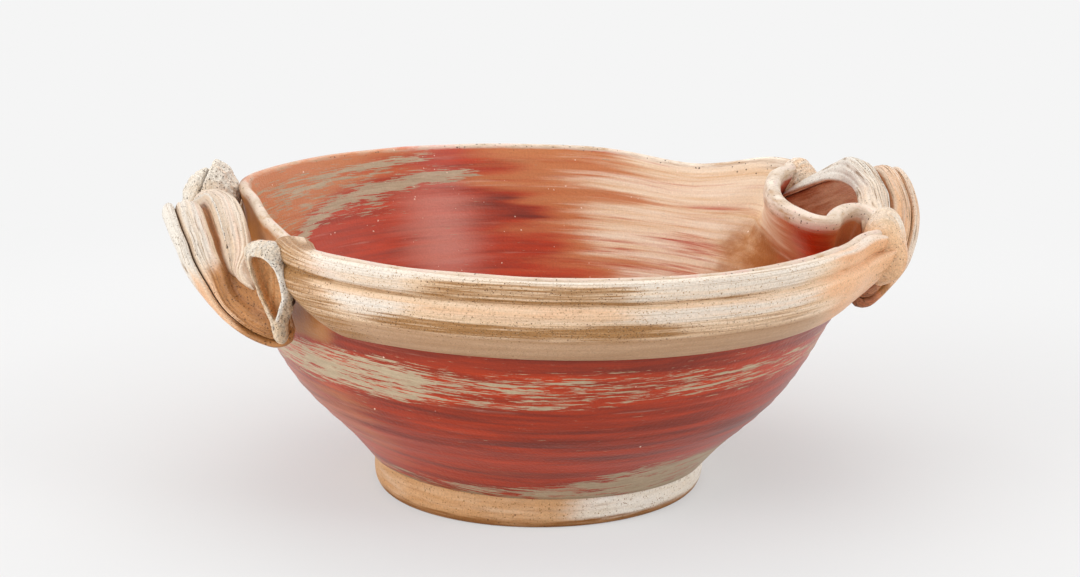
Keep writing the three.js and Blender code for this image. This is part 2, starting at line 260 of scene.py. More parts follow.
@dataclass(frozen=True)
class Glaze:
    """A fired clay surface: a ground, coats over it, and specks."""

    name: str
    colour: str
    second: str
    length: float
    width: float
    roughness: float
    coats: tuple[Coat, ...]
    specks: tuple[Specks, ...]
    relief: float  # millimetres
    gloss: float  # weight of the clear salt glaze on top
    mottle: float  # depth of the fine mottling
    # Grit and mottling are drawn coarser than they are on the clay, so that they show.
    grit_size: float = 1.6  # millimetres
    mottle_size: float = 0.9  # millimetres

    def material(self) -> bpy.types.Material:
        """Builds the material, or finds it if it is built already.

        Returns:
            The material, which reads the masks and the grain of a piece.
        """
        if self.name in bpy.data.materials:
            return bpy.data.materials[self.name]
        material = bpy.data.materials.new(self.name)
        material.use_nodes = True
        nodes = Nodes(material.node_tree)
        grain = nodes.read("grain", "Vector")
        spot = nodes.spot()
        ground = self._streaks(nodes, grain, self.length, self.width, 0)
        tone = nodes.spread(ground, 0.32, 0.68)
        colour = nodes.blend(tone, linear(self.colour), linear(self.second))
        rough: Socket | float = self.roughness
        for number, coat in enumerate(self.coats):
            colour, rough = self._lay(nodes, grain, coat, number + 1, colour, rough)
        grit = nodes.cloud(spot, self.grit_size, 3.0).outputs[0]
        fine = nodes.cloud(spot, self.mottle_size, 2.0).outputs[0]
        shade = nodes.spread(fine, 0.3, 0.7, 1 - self.mottle)
        colour = nodes.blend(1.0, colour, shade, blend_type="MULTIPLY")
        height = nodes.math("MULTIPLY_ADD", ground, 0.8, grit)
        for number, specks in enumerate(self.specks):
            colour, height = self._scatter(nodes, spot, specks, number, colour, height)
        relief = {"Strength": 0.8, "Distance": self.relief * MM, "Height": height}
        bump = nodes.add("ShaderNodeBump", relief)
        shader = nodes.add(
            "ShaderNodeBsdfPrincipled",
            {
                "Base Color": colour,
                "Roughness": rough,
                "IOR": 1.5,
                "Specular IOR Level": 0.2,
                "Normal": bump.outputs[0],
                "Coat Weight": self.gloss,
                "Coat Roughness": 0.22,
            },
        )
        nodes.add("ShaderNodeOutputMaterial", {"Surface": shader.outputs[0]})
        return material

    def _streaks(
        self, nodes: Nodes, grain: Socket, length: float, width: float, number: int
    ) -> Socket:
        """Makes streaks that run along the brush.

        Args:
            nodes: Nodes of the material.
            grain: Vector along the brush in X and Y, and across it in Z.
            length: Length of a streak in millimetres.
            width: Width of a streak in millimetres.
            number: Moves the pattern.

        Returns:
            A number from 0 to 1.
        """
        scale = (1000 / length, 1000 / length, 1000 / width)
        shift = (number * 7.3, number * 3.1, number * 5.7)
        place = nodes.vector("MULTIPLY_ADD", grain, scale, shift)
        wires = {"Vector": place, "Scale": 1.0, "Detail": 5.0, "Roughness": 0.62}
        return nodes.add("ShaderNodeTexNoise", wires).outputs[0]

    def _lay(
        self,
        nodes: Nodes,
        grain: Socket,
        coat: Coat,
        number: int,
        under: Socket,
        rough: Socket | float,
    ) -> tuple[Socket, Socket]:
        """Lays one coat over what is there.

        Args:
            nodes: Nodes of the material.
            grain: Vector along and across the brush.
            coat: The coat.
            number: Moves its breakup.
            under: Colour below it.
            rough: Roughness below it.

        Returns:
            Colour and roughness with the coat on.
        """
        mask = nodes.read(coat.mask)
        breakup = self._streaks(nodes, grain, coat.length, coat.width, number)
        moved = nodes.math("MULTIPLY_ADD", breakup, coat.ragged, -0.5 * coat.ragged)
        level = nodes.math("ADD", mask, moved)
        low, high = 0.5 - coat.edge, 0.5 + coat.edge
        shown = nodes.spread(level, low, high, interpolation_type="SMOOTHSTEP")
        drift = nodes.spread(breakup, 0.35, 0.7)
        tone = nodes.blend(drift, linear(coat.colour), linear(coat.second))
        colour = nodes.blend(shown, under, tone)
        worn = nodes.add("ShaderNodeMix", {0: shown, 2: rough, 3: coat.roughness})
        return colour, worn.outputs[0]

    def _scatter(
        self,
        nodes: Nodes,
        spot: Socket,
        specks: Specks,
        number: int,
        under: Socket,
        height: Socket,
    ) -> tuple[Socket, Socket]:
        """Scatters specks over the surface.

        Args:
            nodes: Nodes of the material.
            spot: Object coordinates.
            specks: The specks.
            number: Moves them.
            under: Colour below them.
            height: Relief below them.

        Returns:
            Colour and relief with the specks on.
        """
        mask = nodes.read(specks.mask)
        ruffle = nodes.cloud(spot, specks.spacing * 1.3, 2.0).outputs["Color"]
        ragged = 0.7 * specks.spacing * MM
        moved = nodes.vector("MULTIPLY_ADD", ruffle, (ragged,) * 3, spot)
        shifted = nodes.vector("ADD", moved, (number * 0.31,) * 3)
        wires = {"Vector": shifted, "Scale": 1000 / specks.spacing}
        cells = nodes.add("ShaderNodeTexVoronoi", wires)
        picked = nodes.add("ShaderNodeSeparateColor", {0: cells.outputs["Color"]})
        grown = nodes.math("MULTIPLY_ADD", picked.outputs[1], 0.9, 0.6)
        sized = nodes.math("MULTIPLY", cells.outputs["Distance"], grown)
        near = nodes.spread(sized, specks.reach, specks.reach * 0.5)
        share = nodes.math("MULTIPLY", mask, specks.chance)
        held = nodes.math("LESS_THAN", picked.outputs[0], share)
        shown = nodes.math("MULTIPLY", near, held)
        colour = nodes.blend(shown, under, linear(specks.colour))
        return colour, nodes.math("MULTIPLY_ADD", shown, 0.5, height)


# Iron-red slip, brushed on while the bowl turned and fired under salt vapour. It
# is satin, streaked along the turning, and misses the grey-tan clay in places.
SLIP_GLAZE = Glaze(
    name="brushed red slip under salt glaze on stoneware",
    colour="#c23c10",
    second="#a83412",
    length=75,
    width=4,
    roughness=0.36,
    coats=(
        Coat("deep", "#842c16", "#742716", 70, 3.5, 1.3, 0.35, 0.34),
        Coat("flame", "#c95420", "#b8421a", 50, 5, 1.2, 0.35, 0.34),
        # A painted sheen: a pale pink band that stands in for a lamp's soft reflection inside the back
        # wall.
        Coat("painted_sheen", "#d38a78", "#c4705c", 90, 4, 1.1, 0.45, 0.34),
        Coat("orange", "#cc8f5e", "#bd6c3c", 60, 4, 1.2, 0.4, 0.36),
        Coat("cream", "#dfbd94", "#f1e2cc", 85, 3.2, 1.5, 0.35, 0.36),
        Coat("tails", "#c66a38", "#b4492a", 75, 2.8, 1.7, 0.25, 0.36),
        Coat("toast", "#b57a42", "#a0602c", 22, 9, 0.9, 0.35, 0.38),
        Coat("dry", "#c9b79b", "#ad9a7e", 30, 1.6, 2.0, 0.05, 0.6),
        Coat("dry", "#c0ae92", "#a59377", 13, 0.65, 2.6, 0.05, 0.6),
        Coat("lip", "#e4d9ca", "#b08a62", 14, 2.2, 1.3, 0.3, 0.45),
    ),
    specks=(
        Specks("lip", "#4a3729", 1.5, 0.3, 0.3),
        Specks("pinholes", "#f0d6c0", 3.4, 0.12, 0.22),
    ),
    relief=0.3,
    gloss=0.22,
    mottle=0.12,
)

# Bare stoneware, wiped clean for the kiln shelf: cream, flashed orange on the
# side of the flame, dry to the eye, with fine iron specks.
BARE_CLAY = Glaze(
    name="bare flashed stoneware",
    colour="#dab085",
    second="#cb9a67",
    length=40,
    width=3,
    roughness=0.6,
    coats=(
        Coat("pale", "#f6f0e6", "#eadcc6", 34, 5, 1.1, 0.4, 0.55),
        Coat("flame", "#fbb07a", "#f09c62", 30, 5, 1.1, 0.4, 0.5),
        Coat("toast", "#a97440", "#936030", 24, 1.6, 1.5, 0.35, 0.6),
    ),
    specks=(
        Specks("all", "#94703f", 0.9, 0.36, 0.3),
        Specks("all", "#5b4028", 2.4, 0.16, 0.12),
    ),
    relief=0.3,
    gloss=0.0,
    mottle=0.2,
)

# Salt-glazed stoneware on the rolled collar: cream to peach, white where the salt settled and
# in painted highlights on the bulge, toasted brown and speckled where the flame licked it.
COLLAR_GLAZE = Glaze(
    name="salt glazed stoneware collar",
    colour="#e8d1b7",
    second="#dab894",
    length=80,
    width=2.4,
    roughness=0.42,
    coats=(
        Coat("peach", "#e6b68c", "#daa275", 60, 6, 0.8, 0.4, 0.4),
        Coat("pink", "#dfc5b4", "#cfab97", 60, 3, 0.9, 0.4, 0.42),
        Coat("grey", "#bd9b7b", "#ab8562", 70, 2.4, 0.8, 0.35, 0.5),
        Coat("white", "#e8e3da", "#dccfc0", 60, 2.2, 1.3, 0.35, 0.36),
        Coat("toast", "#b0824f", "#94683b", 40, 1.1, 1.9, 0.3, 0.5),
        Coat("lines", "#b08c66", "#9a744c", 110, 0.45, 1.2, 0.2, 0.5),
    ),
    specks=(
        Specks("toast", "#5f4026", 0.7, 0.4, 0.6),
        Specks("all", "#a98a66", 0.75, 0.4, 0.34),
        Specks("all", "#5c432d", 2.3, 0.13, 0.1),
    ),
    relief=0.35,
    gloss=0.1,
    mottle=0.2,
)

# The same clay pulled into ribbed straps: white on the ridges, orange-brown where
# the glaze ran thin in the grooves, amber where it pooled.
STRAP_GLAZE = Glaze(
    name="salt glazed stoneware strap",
    colour="#e3d2bf",
    second="#d8bd9f",
    length=50,
    width=1.6,
    roughness=0.42,
    coats=(
        Coat("pink", "#dcc5b6", "#cfb09e", 40, 3, 0.9, 0.4, 0.42),
        Coat("peach", "#e4bb94", "#d8a47a", 40, 4, 0.8, 0.4, 0.4),
        Coat("amber", "#b9804c", "#9a683a", 20, 4, 1.3, 0.35, 0.3),
        Coat("groove", "#b98055", "#9a653c", 40, 1.6, 0.8, 0.35, 0.42),
        Coat("rust", "#cf8d64", "#b3663f", 18, 3.0, 1.1, 0.35, 0.42),
        Coat("white", "#e0dbd1", "#d6cbbe", 36, 1.4, 1.3, 0.3, 0.4),
        Coat("lines", "#a88b6c", "#87684a", 26, 0.42, 1.5, 0.1, 0.5),
        Coat("line", "#43291a", "#5c3820", 20, 1.0, 0.6, 0.25, 0.5),
    ),
    specks=(
        Specks("white", "#7c6c58", 0.9, 0.34, 0.26),
        Specks("tear", "#2e231c", 1.4, 0.45, 0.8),
        Specks("amber", "#6b4526", 1.2, 0.36, 0.4),
        Specks("all", "#8b6b48", 1.3, 0.2, 0.14),
    ),
    relief=0.6,
    gloss=0.1,
    mottle=0.22,
)

# Thick folds where salt built up: cream and white, with a painted highlight on the lobe's top,
# coarse with grey and black specks on the outside, orange-brown inside the hollows.
FOLD_GLAZE = Glaze(
    name="salt crusted stoneware fold",
    colour="#dfcbb2",
    second="#d2b28c",
    length=22,
    width=5,
    roughness=0.46,
    coats=(
        Coat("peach", "#e6bc92", "#dba67a", 30, 8, 0.8, 0.4, 0.42),
        Coat("ash", "#b3a695", "#8f8274", 4, 1.6, 1.8, 0.25, 0.5),
        Coat("hollow", "#eebd88", "#cf9258", 34, 1.4, 1.0, 0.35, 0.36),
        Coat("white", "#ece7dd", "#e0d4c4", 12, 3, 1.3, 0.3, 0.4),
        Coat("line", "#3f281a", "#5a3720", 20, 1.5, 0.5, 0.25, 0.5),
    ),
    specks=(
        Specks("ash", "#4a4038", 0.6, 0.48, 0.55),
        Specks("all", "#7d6247", 1.1, 0.26, 0.2),
    ),
    relief=0.9,
    gloss=0.08,
    mottle=0.3,
)


@dataclass(frozen=True)
class Wall:
    """The thrown wall that every other piece is luted to."""

    rim_radius: float = 167.5
    rim_height: float = 147.0
    thickness: float = 6.0
    dent_drop: float = 55.0  # how far below the lip its course fades out to a circle
    lean: float = 1.8
    lean_height: float = 40.0
    foot_x: float = -4.41  # the foot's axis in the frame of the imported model
    foot_y: float = -0.04
    side: tuple[tuple[float, float], ...] = (
        (87.5, 16), (99.5, 30), (128.5, 60), (150.5, 100), (167.5, 144),
    )
    # Lip behind the left handle: angle from the handle's middle, share of the radius.
    left_lip: tuple[tuple[float, float], ...] = (
        (-40, 1.0), (-37, 1.0), (-32, 0.99), (-27, 0.963), (-21, 0.932), (-14, 0.905),
        (-8, 0.894), (0, 0.889), (8, 0.895), (14, 0.91), (18, 0.932), (24, 0.97), (30, 0.995),
        (36, 1.0), (40, 1.0),
    )
    # Lip behind the right handle, from back to front: it is pinched out, pushed in,
    # doubled back on itself and pinched to a tip.
    right_lip: tuple[tuple[float, float], ...] = (
        (126.0, 105.7), (137.5, 95.5), (149.0, 88.0), (158.0, 82.0), (162.5, 76.0),
        (160.0, 70.0), (153.0, 62.5), (144.0, 49.0), (133.0, 24.0), (125.0, 1.0),
        (121.0, -16.5), (119.3, -34.0), (120.0, -48.5), (122.0, -60.5), (126.0, -68.0),
        (131.0, -68.0), (134.5, -62.0), (139.0, -54.0), (145.5, -45.0), (151.5, -40.0),
        (157.0, -38.5), (161.5, -41.0), (163.3, -47.0), (162.7, -56.5), (160.7, -67.5),
        (157.0, -76.0), (151.0, -81.0), (143.3, -86.0), (135.5, -94.5), (127.0, -106.0),
        (117.0, -117.0),
    )
    right_span: tuple[float, float] = (40.0, -45.0)  # turns that the right course covers
    hump: float = 5.5  # rise of the lip where it is pinched out at the back right
    curl: float = 4.5  # rise of the lip where it curls behind the right handle
    dip: float = 4.2  # fall of the lip beside the hump
    table: dict = field(default_factory=dict, compare=False)

    def __post_init__(self) -> None:
        """Works out the wall's radius by height and the lip's course by turn."""
        line = smooth_line(self.side, 400)
        self.table["height"] = line[:, 1]
        self.table["radius"] = line[:, 0]
        turns = np.linspace(-180.0, 180.0, 7201)
        around = np.stack([np.cos(np.radians(turns)), np.sin(np.radians(turns))], axis=-1)
        lip = self.rim_radius - self.thickness / 2
        left = smooth_line(np.asarray(self.left_lip) * (1.0, 100.0), 800)
        side = np.where(turns > 0, 180.0 - turns, -180.0 - turns)
        moved = around * (np.interp(side, left[:, 0], left[:, 1] / 100.0, 1.0, 1.0) - 1.0)[:, None]
        moved *= lip
        right = smooth_line(self.right_lip, 1200)
        start, end = self.right_span
        share = (start - turns) / (start - end)
        inside = (share >= 0) & (share <= 1)
        runs = np.linspace(0.0, 1.0, len(right))
        course = follow(right, runs, share)
        moved = np.where(inside[:, None], course - around * lip, moved)
        self.table["turn"] = turns
        self.table["moved"] = moved

    def radius_at(self, height: np.ndarray) -> np.ndarray:
        """Radius of the outside of the round wall at a height."""
        return np.interp(height, self.table["height"], self.table["radius"])

    def rise_at(self, turn: np.ndarray, height: np.ndarray) -> np.ndarray:
        """How far hands pulled the wall up or down.

        Args:
            turn: Turns in degrees.
            height: Heights in millimetres.

        Returns:
            Rise in millimetres.
        """
        wrapped = wrap(turn)
        rise = self.hump * bell(wrapped, 31, 6.5) + self.curl * between(wrapped, -24, 24, 5)
        rise = rise - self.dip * bell(wrapped, 46, 11)
        return rise * ease(height, self.rim_height - 45, self.rim_height)

    def middle(self, turn: np.ndarray, height: np.ndarray) -> np.ndarray:
        """Middle of the altered wall.

        Args:
            turn: Turns in degrees.
            height: Heights in millimetres.

        Returns:
            X and Y, one row each.
        """
        wrapped = wrap(turn)
        rise = ease(height, self.rim_height - self.dent_drop, self.rim_height)
        radius = self.radius_at(height) - self.thickness / 2
        angle = np.radians(wrapped)
        moved = follow(self.table["moved"], self.table["turn"], wrapped)
        x = radius * np.cos(angle) + rise * moved[..., 0]
        y = radius * np.sin(angle) + rise * moved[..., 1]
        return np.stack([x, y], axis=-1)

    def place(self, turn: np.ndarray, height: np.ndarray, out: np.ndarray) -> np.ndarray:
        """Places points on the altered wall.

        Args:
            turn: Turns in degrees.
            height: Heights in millimetres.
            out: Distance outwards from the outside of the wall.

        Returns:
            Points in the upright bowl, one row each.
        """
        middle = self.middle(turn, height)
        along = self.middle(turn + 0.35, height) - self.middle(turn - 0.35, height)
        normal = np.stack([along[:, 1], -along[:, 0]], axis=-1)
        normal /= np.maximum(np.linalg.norm(normal, axis=1, keepdims=True), 1e-9)
        flat = middle + normal * (np.asarray(out) + self.thickness / 2)[:, None]
        return np.column_stack([flat, height])

    def settle(self, points: np.ndarray, leans: bool = True) -> np.ndarray:
        """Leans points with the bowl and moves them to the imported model's frame.

        Args:
            points: Points in the upright bowl, in millimetres.
            leans: Whether they lean with the bowl.

        Returns:
            Points in metres.
        """
        moved = points.copy()
        if leans:
            angle = math.radians(self.lean)
            up = points[:, 2] - self.lean_height
            moved[:, 0] = points[:, 0] * math.cos(angle) + up * math.sin(angle)
            moved[:, 2] = up * math.cos(angle) - points[:, 0] * math.sin(angle) + self.lean_height
        return (moved + (self.foot_x, self.foot_y, 0.0)) * MM


def start_piece(name: str) -> bpy.types.Object:
    """Names the primitive that was just added.

    Args:
        name: Name of the piece.

    Returns:
        The piece.
    """
    piece = bpy.context.active_object
    piece.name = name
    piece.data.name = name
    return piece


def spun_mesh(name: str, profile: np.ndarray, steps: int) -> bpy.types.Object:
    """Draws a profile by extruding a corner and spins it round the upright axis.

    Args:
        name: Name of the piece.
        profile: Radius and height of each corner, in millimetres.
        steps: Steps of the full turn.

    Returns:
        The piece, closed and facing outwards.
    """
    bpy.ops.object.select_all(action="DESELECT")
    bpy.ops.mesh.primitive_plane_add(size=0.01)
    piece = start_piece(name)
    bpy.ops.object.mode_set(mode="EDIT")
    bpy.ops.mesh.merge(type="CENTER")
    bpy.ops.transform.translate(value=(profile[0][0] * MM, 0.0, profile[0][1] * MM))
    for here, there in zip(profile, profile[1:]):
        step = ((there[0] - here[0]) * MM, 0.0, (there[1] - here[1]) * MM)
        bpy.ops.mesh.extrude_vertices_move(TRANSFORM_OT_translate={"value": step})
    bpy.ops.mesh.select_all(action="SELECT")
    bpy.ops.mesh.spin(steps=steps, angle=math.tau, center=(0, 0, 0), axis=(0, 0, 1))
    bpy.ops.mesh.select_all(action="SELECT")
    bpy.ops.mesh.remove_doubles(threshold=1e-6)
    bpy.ops.mesh.normals_make_consistent(inside=False)
    bpy.ops.object.mode_set(mode="OBJECT")
    return piece


@dataclass
class Rod:
    """A cylinder of rings, which become the sections of a long piece."""

    piece: bpy.types.Object
    ring: np.ndarray  # of each corner
    slot: np.ndarray  # of each corner in its ring, or -1 in the middle of an end

    def of_section(self, values: np.ndarray, at_middle: float) -> np.ndarray:
        """Gives each corner its section's value, or one for the middle of an end."""
        return np.where(self.slot >= 0, values[self.slot], at_middle)

    def of_grid(self, grid: np.ndarray) -> np.ndarray:
        """Gives each corner its value from a grid by ring, or the mean of its ring."""
        inside = (self.slot >= 0).reshape(-1, *(1,) * (grid.ndim - 2))
        return np.where(inside, grid[self.ring, self.slot], grid.mean(axis=1)[self.ring])


def rod_mesh(name: str, around: int, along: int) -> Rod:
    """Adds a cylinder and subdivides it into rings.

    Args:
        name: Name of the piece.
        around: Corners of a ring.
        along: Steps from end to end.

    Returns:
        The rod, of radius 1.
    """
    bpy.ops.object.select_all(action="DESELECT")
    bpy.ops.mesh.primitive_cylinder_add(
        vertices=around, radius=1.0, depth=1.0, end_fill_type="TRIFAN"
    )
    piece = start_piece(name)
    bpy.ops.object.mode_set(mode="EDIT")
    bpy.ops.mesh.select_mode(type="EDGE")
    bpy.ops.mesh.select_all(action="DESELECT")
    bpy.ops.object.mode_set(mode="OBJECT")
    corners = piece.data.vertices
    for edge in piece.data.edges:
        one, other = edge.vertices
        edge.select = abs(corners[one].co.z - corners[other].co.z) > 0.5
    bpy.ops.object.mode_set(mode="EDIT")
    bpy.ops.mesh.subdivide(number_cuts=along - 1)
    bpy.ops.mesh.select_mode(type="VERT")
    bpy.ops.object.mode_set(mode="OBJECT")
    where = corners_of(piece)
    ring = np.rint((where[:, 2] + 0.5) * along).astype(int)
    turn = np.arctan2(where[:, 1], where[:, 0]) / math.tau * around
    far = np.hypot(where[:, 0], where[:, 1]) > 0.5
    first = turn[np.argmax(far)]
    slot = np.rint(turn - first).astype(int) % around
    return Rod(piece, ring, np.where(far, slot, -1))


def ball_mesh(name: str, segments: int, rings: int) -> tuple[bpy.types.Object, np.ndarray]:
    """Adds a ball of radius 1 to be pressed into shape.

    Args:
        name: Name of the piece.
        segments: Segments round it.
        rings: Rings from pole to pole.

    Returns:
        The piece and its corners.
    """
    bpy.ops.object.select_all(action="DESELECT")
    bpy.ops.mesh.primitive_uv_sphere_add(segments=segments, ring_count=rings, radius=1.0)
    piece = start_piece(name)
    return piece, corners_of(piece)


def corners_of(piece: bpy.types.Object) -> np.ndarray:
    """Reads the corners of a piece.

    Args:
        piece: The piece.

    Returns:
        Corners, one row each.
    """
    flat = np.empty(len(piece.data.vertices) * 3)
    piece.data.vertices.foreach_get("co", flat)
    return flat.reshape(-1, 3)


def press(piece: bpy.types.Object, points: np.ndarray) -> None:
    """Moves the corners of a piece, turns its faces outwards and smooths it.

    Args:
        piece: The piece.
        points: New corners in metres.
    """
    piece.data.vertices.foreach_set("co", np.ascontiguousarray(points, dtype=np.float32).ravel())
    piece.data.update()
    bpy.ops.object.select_all(action="DESELECT")
    piece.select_set(True)
    bpy.context.view_layer.objects.active = piece
    bpy.ops.object.mode_set(mode="EDIT")
    bpy.ops.mesh.select_all(action="SELECT")
    bpy.ops.mesh.normals_make_consistent(inside=False)
    bpy.ops.object.mode_set(mode="OBJECT")
    bpy.ops.object.shade_smooth()


def paint(piece: bpy.types.Object, grain: np.ndarray, masks: dict[str, np.ndarray]) -> None:
    """Paints the grain and the masks of a piece.

    Args:
        piece: The piece.
        grain: Vector along the brush in X and Y, and across it in Z, in millimetres.
        masks: Mask name and a value from 0 to 1 for each corner.
    """
    mesh = piece.data
    brush = mesh.attributes.new("grain", "FLOAT_VECTOR", "POINT")
    brush.data.foreach_set("vector", np.ascontiguousarray(grain * MM, dtype=np.float32).ravel())
    masks["all"] = np.ones(len(mesh.vertices))
    for name, values in masks.items():
        layer = mesh.attributes.new(name, "FLOAT", "POINT")
        layer.data.foreach_set("value", np.clip(values, 0.0, 1.0).astype(np.float32))


def hand_over(piece: bpy.types.Object, glaze: Glaze, node: str) -> None:
    """Gives a piece its finish and puts it in the place of its solid.

    Args:
        piece: The piece.
        glaze: Its finish.
        node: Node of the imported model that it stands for.
    """
    piece.data.materials.append(glaze.material())
    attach(piece, BODY)
    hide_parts(node)
    LOG.info("%s: %d faces", piece.name, len(piece.data.polygons))


def from_front(turn: np.ndarray) -> np.ndarray:
    """Turn from the side that faces the camera, from -180 to 180, rising to the right."""
    return wrap(turn - FRONT_TURN)


@dataclass
class BowlBody:
    """The thrown bowl: floor, flared wall and lip, pushed in behind the handles."""

    wall: Wall
    floor_height: float = 25.0
    lip_bead: float = 0.4  # how much thicker the lip is behind the right handle
    ring_depth: float = 0.22  # of the throwing rings
    ring_spacing: float = 7.5
    columns: tuple[tuple[float, float, int], ...] = (
        (-45.0, 40.0, 216), (40.0, 145.0, 132), (145.0, 215.0, 96), (215.0, 315.0, 132),
    )

    def build(self) -> None:
        """Builds the bowl and dresses it."""
        profile, inside = self._profile()
        turns = np.concatenate(
            [np.linspace(low, high, count, endpoint=False) for low, high, count in self.columns]
        )
        piece = spun_mesh("bowl_body_clay", profile, len(turns))
        where = corners_of(piece) / MM
        distance = np.hypot(where[:, 0], where[:, 1])
        gaps = (distance[:, None] - profile[None, :, 0]) ** 2
        gaps += (where[:, 2][:, None] - profile[None, :, 1]) ** 2
        row = np.argmin(gaps, axis=1)
        share = np.arctan2(where[:, 1], where[:, 0]) / math.tau
        turn = turns[np.rint(share * len(turns)).astype(int) % len(turns)]
        radius, height = profile[row, 0], profile[row, 1]
        within = inside[row]
        points = self._shape(turn, radius, height, within)
        press(piece, self.wall.settle(points))
        angle = np.radians(turn)
        dip = 6.0 * bell(from_front(turn), 0, 45) * (1 - within)
        grain = np.column_stack([radius * np.cos(angle), radius * np.sin(angle), height + dip])
        paint(piece, grain, self._masks(turn, height, within))
        hand_over(piece, SLIP_GLAZE, "bowl_body")

    def _profile(self) -> tuple[np.ndarray, np.ndarray]:
        """Draws the bowl's section.

        Returns:
            Radius and height of each corner from the middle of the underside to the
            middle of the floor, and 1 for the corners of the inside.
        """
        wall = self.wall
        half = wall.thickness / 2
        under = [(0.0, 16.0), (30.0, 16.0), (60.0, 16.0), (80.0, 16.0)]
        outer = smooth_line(wall.side, 46)[:-1]
        bead = np.radians(np.linspace(8, 172, 11))
        lip_radius = wall.rim_radius - half
        lip_height = wall.rim_height - half
        lip = np.column_stack([lip_radius + half * np.cos(bead), lip_height + half * np.sin(bead)])
        heights = np.linspace(lip_height - 0.6, 34.0, 44)
        slope = (wall.radius_at(heights + 1) - wall.radius_at(heights - 1)) / 2
        inner = wall.radius_at(heights) - wall.thickness * np.sqrt(1 + slope**2)
        last = inner[-1]
        floor = [(last * 0.985, 31.5), (last * 0.96, 29.2), (last * 0.92, 27.3), (last * 0.86, 26.0)]
        floor += [(last * s, self.floor_height - 0.2) for s in (0.76, 0.6, 0.44, 0.28, 0.12)]
        floor.append((0.0, self.floor_height - 0.4))
        profile = np.vstack([under, outer, lip, np.column_stack([inner, heights]), floor])
        inside = np.zeros(len(profile))
        inside[len(under) + len(outer) + len(lip) // 2 :] = 1.0
        return profile, inside

    def _shape(
        self, turn: np.ndarray, radius: np.ndarray, height: np.ndarray, within: np.ndarray
    ) -> np.ndarray:
        """Alters the round bowl as the potter's hands did.

        Args:
            turn: Turn of each corner.
            radius: Its radius in the round bowl.
            height: Its height in the round bowl.
            within: 1 on the inside; not used here.

        Returns:
            Corners of the altered bowl.
        """
        wall = self.wall
        half = wall.thickness / 2
        top = ease(height, wall.rim_height - 16, wall.rim_height - 4)
        dented = between(turn, -31, 27, 4)
        out = radius - wall.radius_at(height)
        out = -half + (out + half) * (1 + self.lip_bead * top * dented)
        angle = np.radians(turn)
        round_place = np.column_stack([radius * np.cos(angle), radius * np.sin(angle), height])
        ripple = self.ring_depth * np.sin(height / self.ring_spacing * math.tau + angle)
        out = out + ripple * ease(height, 24, 40) * (1 - top)
        out = out + 0.45 * wander(round_place, 60, 1.0) * ease(height, 30, 60)
        uneven = 0.5 * wander(round_place * (1, 1, 0), 40, 2.0)
        place = wall.place(turn, height, out)
        place[:, 2] += wall.rise_at(turn, height)
        place[:, 2] += uneven * ease(height, wall.rim_height - 45, wall.rim_height)
        return place

    def _masks(
        self, turn: np.ndarray, height: np.ndarray, within: np.ndarray
    ) -> dict[str, np.ndarray]:
        """Paints where the slip, the flame and the salt went, with painted shade under the collar and a
        painted sheen inside.

        Args:
            turn: Turn of each corner.
            height: Its height.
            within: 1 on the inside.

        Returns:
            Masks of the slip glaze.
        """
        view = from_front(turn)
        back = (turn - FRONT_TURN) % 360.0
        outside = self._outside(view, height)
        inner = self._inside(back, height)
        masks = {name: np.where(within > 0, inner[name], outside.get(name, 0.0)) for name in inner}
        top = self.wall.rim_height
        lip = 0.72 * ease(height, top - 3.4, top - 1.2) * (1 - 0.4 * between(back, 208, 262, 8))
        right = 0.76 * between(turn, -38, 33, 4) * ease(height, top - 11, top - 5)
        left = 0.6 * between(turn % 360.0, 150, 209, 5) * ease(height, top - 6, top - 3)
        masks["lip"] = np.maximum.reduce([lip, right, left])
        return masks

    def _outside(self, view: np.ndarray, height: np.ndarray) -> dict[str, np.ndarray]:
        """Masks of the outside.

        Args:
            view: Turn from the front, in degrees.
            height: Height in the round bowl, in millimetres.

        Returns:
            Masks by name.
        """
        dense = 0.52 * between(view, -95, -17, 10) * between(height, 74, 97, 5)
        dashes = 0.35 * between(view, -28, 100, 12) * between(height, 80, 97, 4)
        rest = 0.42 * (1 - between(view, -90, 95, 12)) * between(height, 74, 98, 6)
        low_line = 0.66 * between(view, -34, 9, 8) * bell(height, 79.5, 2.0)
        high_line = 0.6 * between(view, -3, 75, 8) * bell(height, 98.0, 1.1)
        top = 23.0 + 15.0 * ease(view, -10, 42) + 4.0 * ease(-view, 60, 120)
        foot = 0.56 * (1 - ease(height - top, -5, 5)) * ease(view, -30, 6)
        foot = foot + 0.36 * (1 - ease(height, 20, 25)) * (1 - ease(view, -30, 6))
        dry = np.maximum.reduce([dense, dashes, rest, low_line, high_line, foot])
        flame = 0.85 * between(view, -70, -34, 7) * between(height, 93, 122, 5)
        flame = np.maximum(flame, 0.42 * between(height, 22, 52, 8) * between(view, -60, 60, 20))
        return {
            "dry": dry,
            "flame": flame,
            "orange": 0.38 * between(view, -80, -38, 10) * between(height, 28, 75, 10),
            # The deep red in the band just under the collar is painted shade; the rest of the deep red
            # is the slip's own.
            "deep": 0.4 + 0.22 * between(height, 48, 75, 8) + 0.3 * between(height, 98, 115, 3),
            "toast": 0.9 * between(view, -110, -41, 4) * between(height, 98, 160, 4),
            "pinholes": np.full_like(height, 0.12),
        }

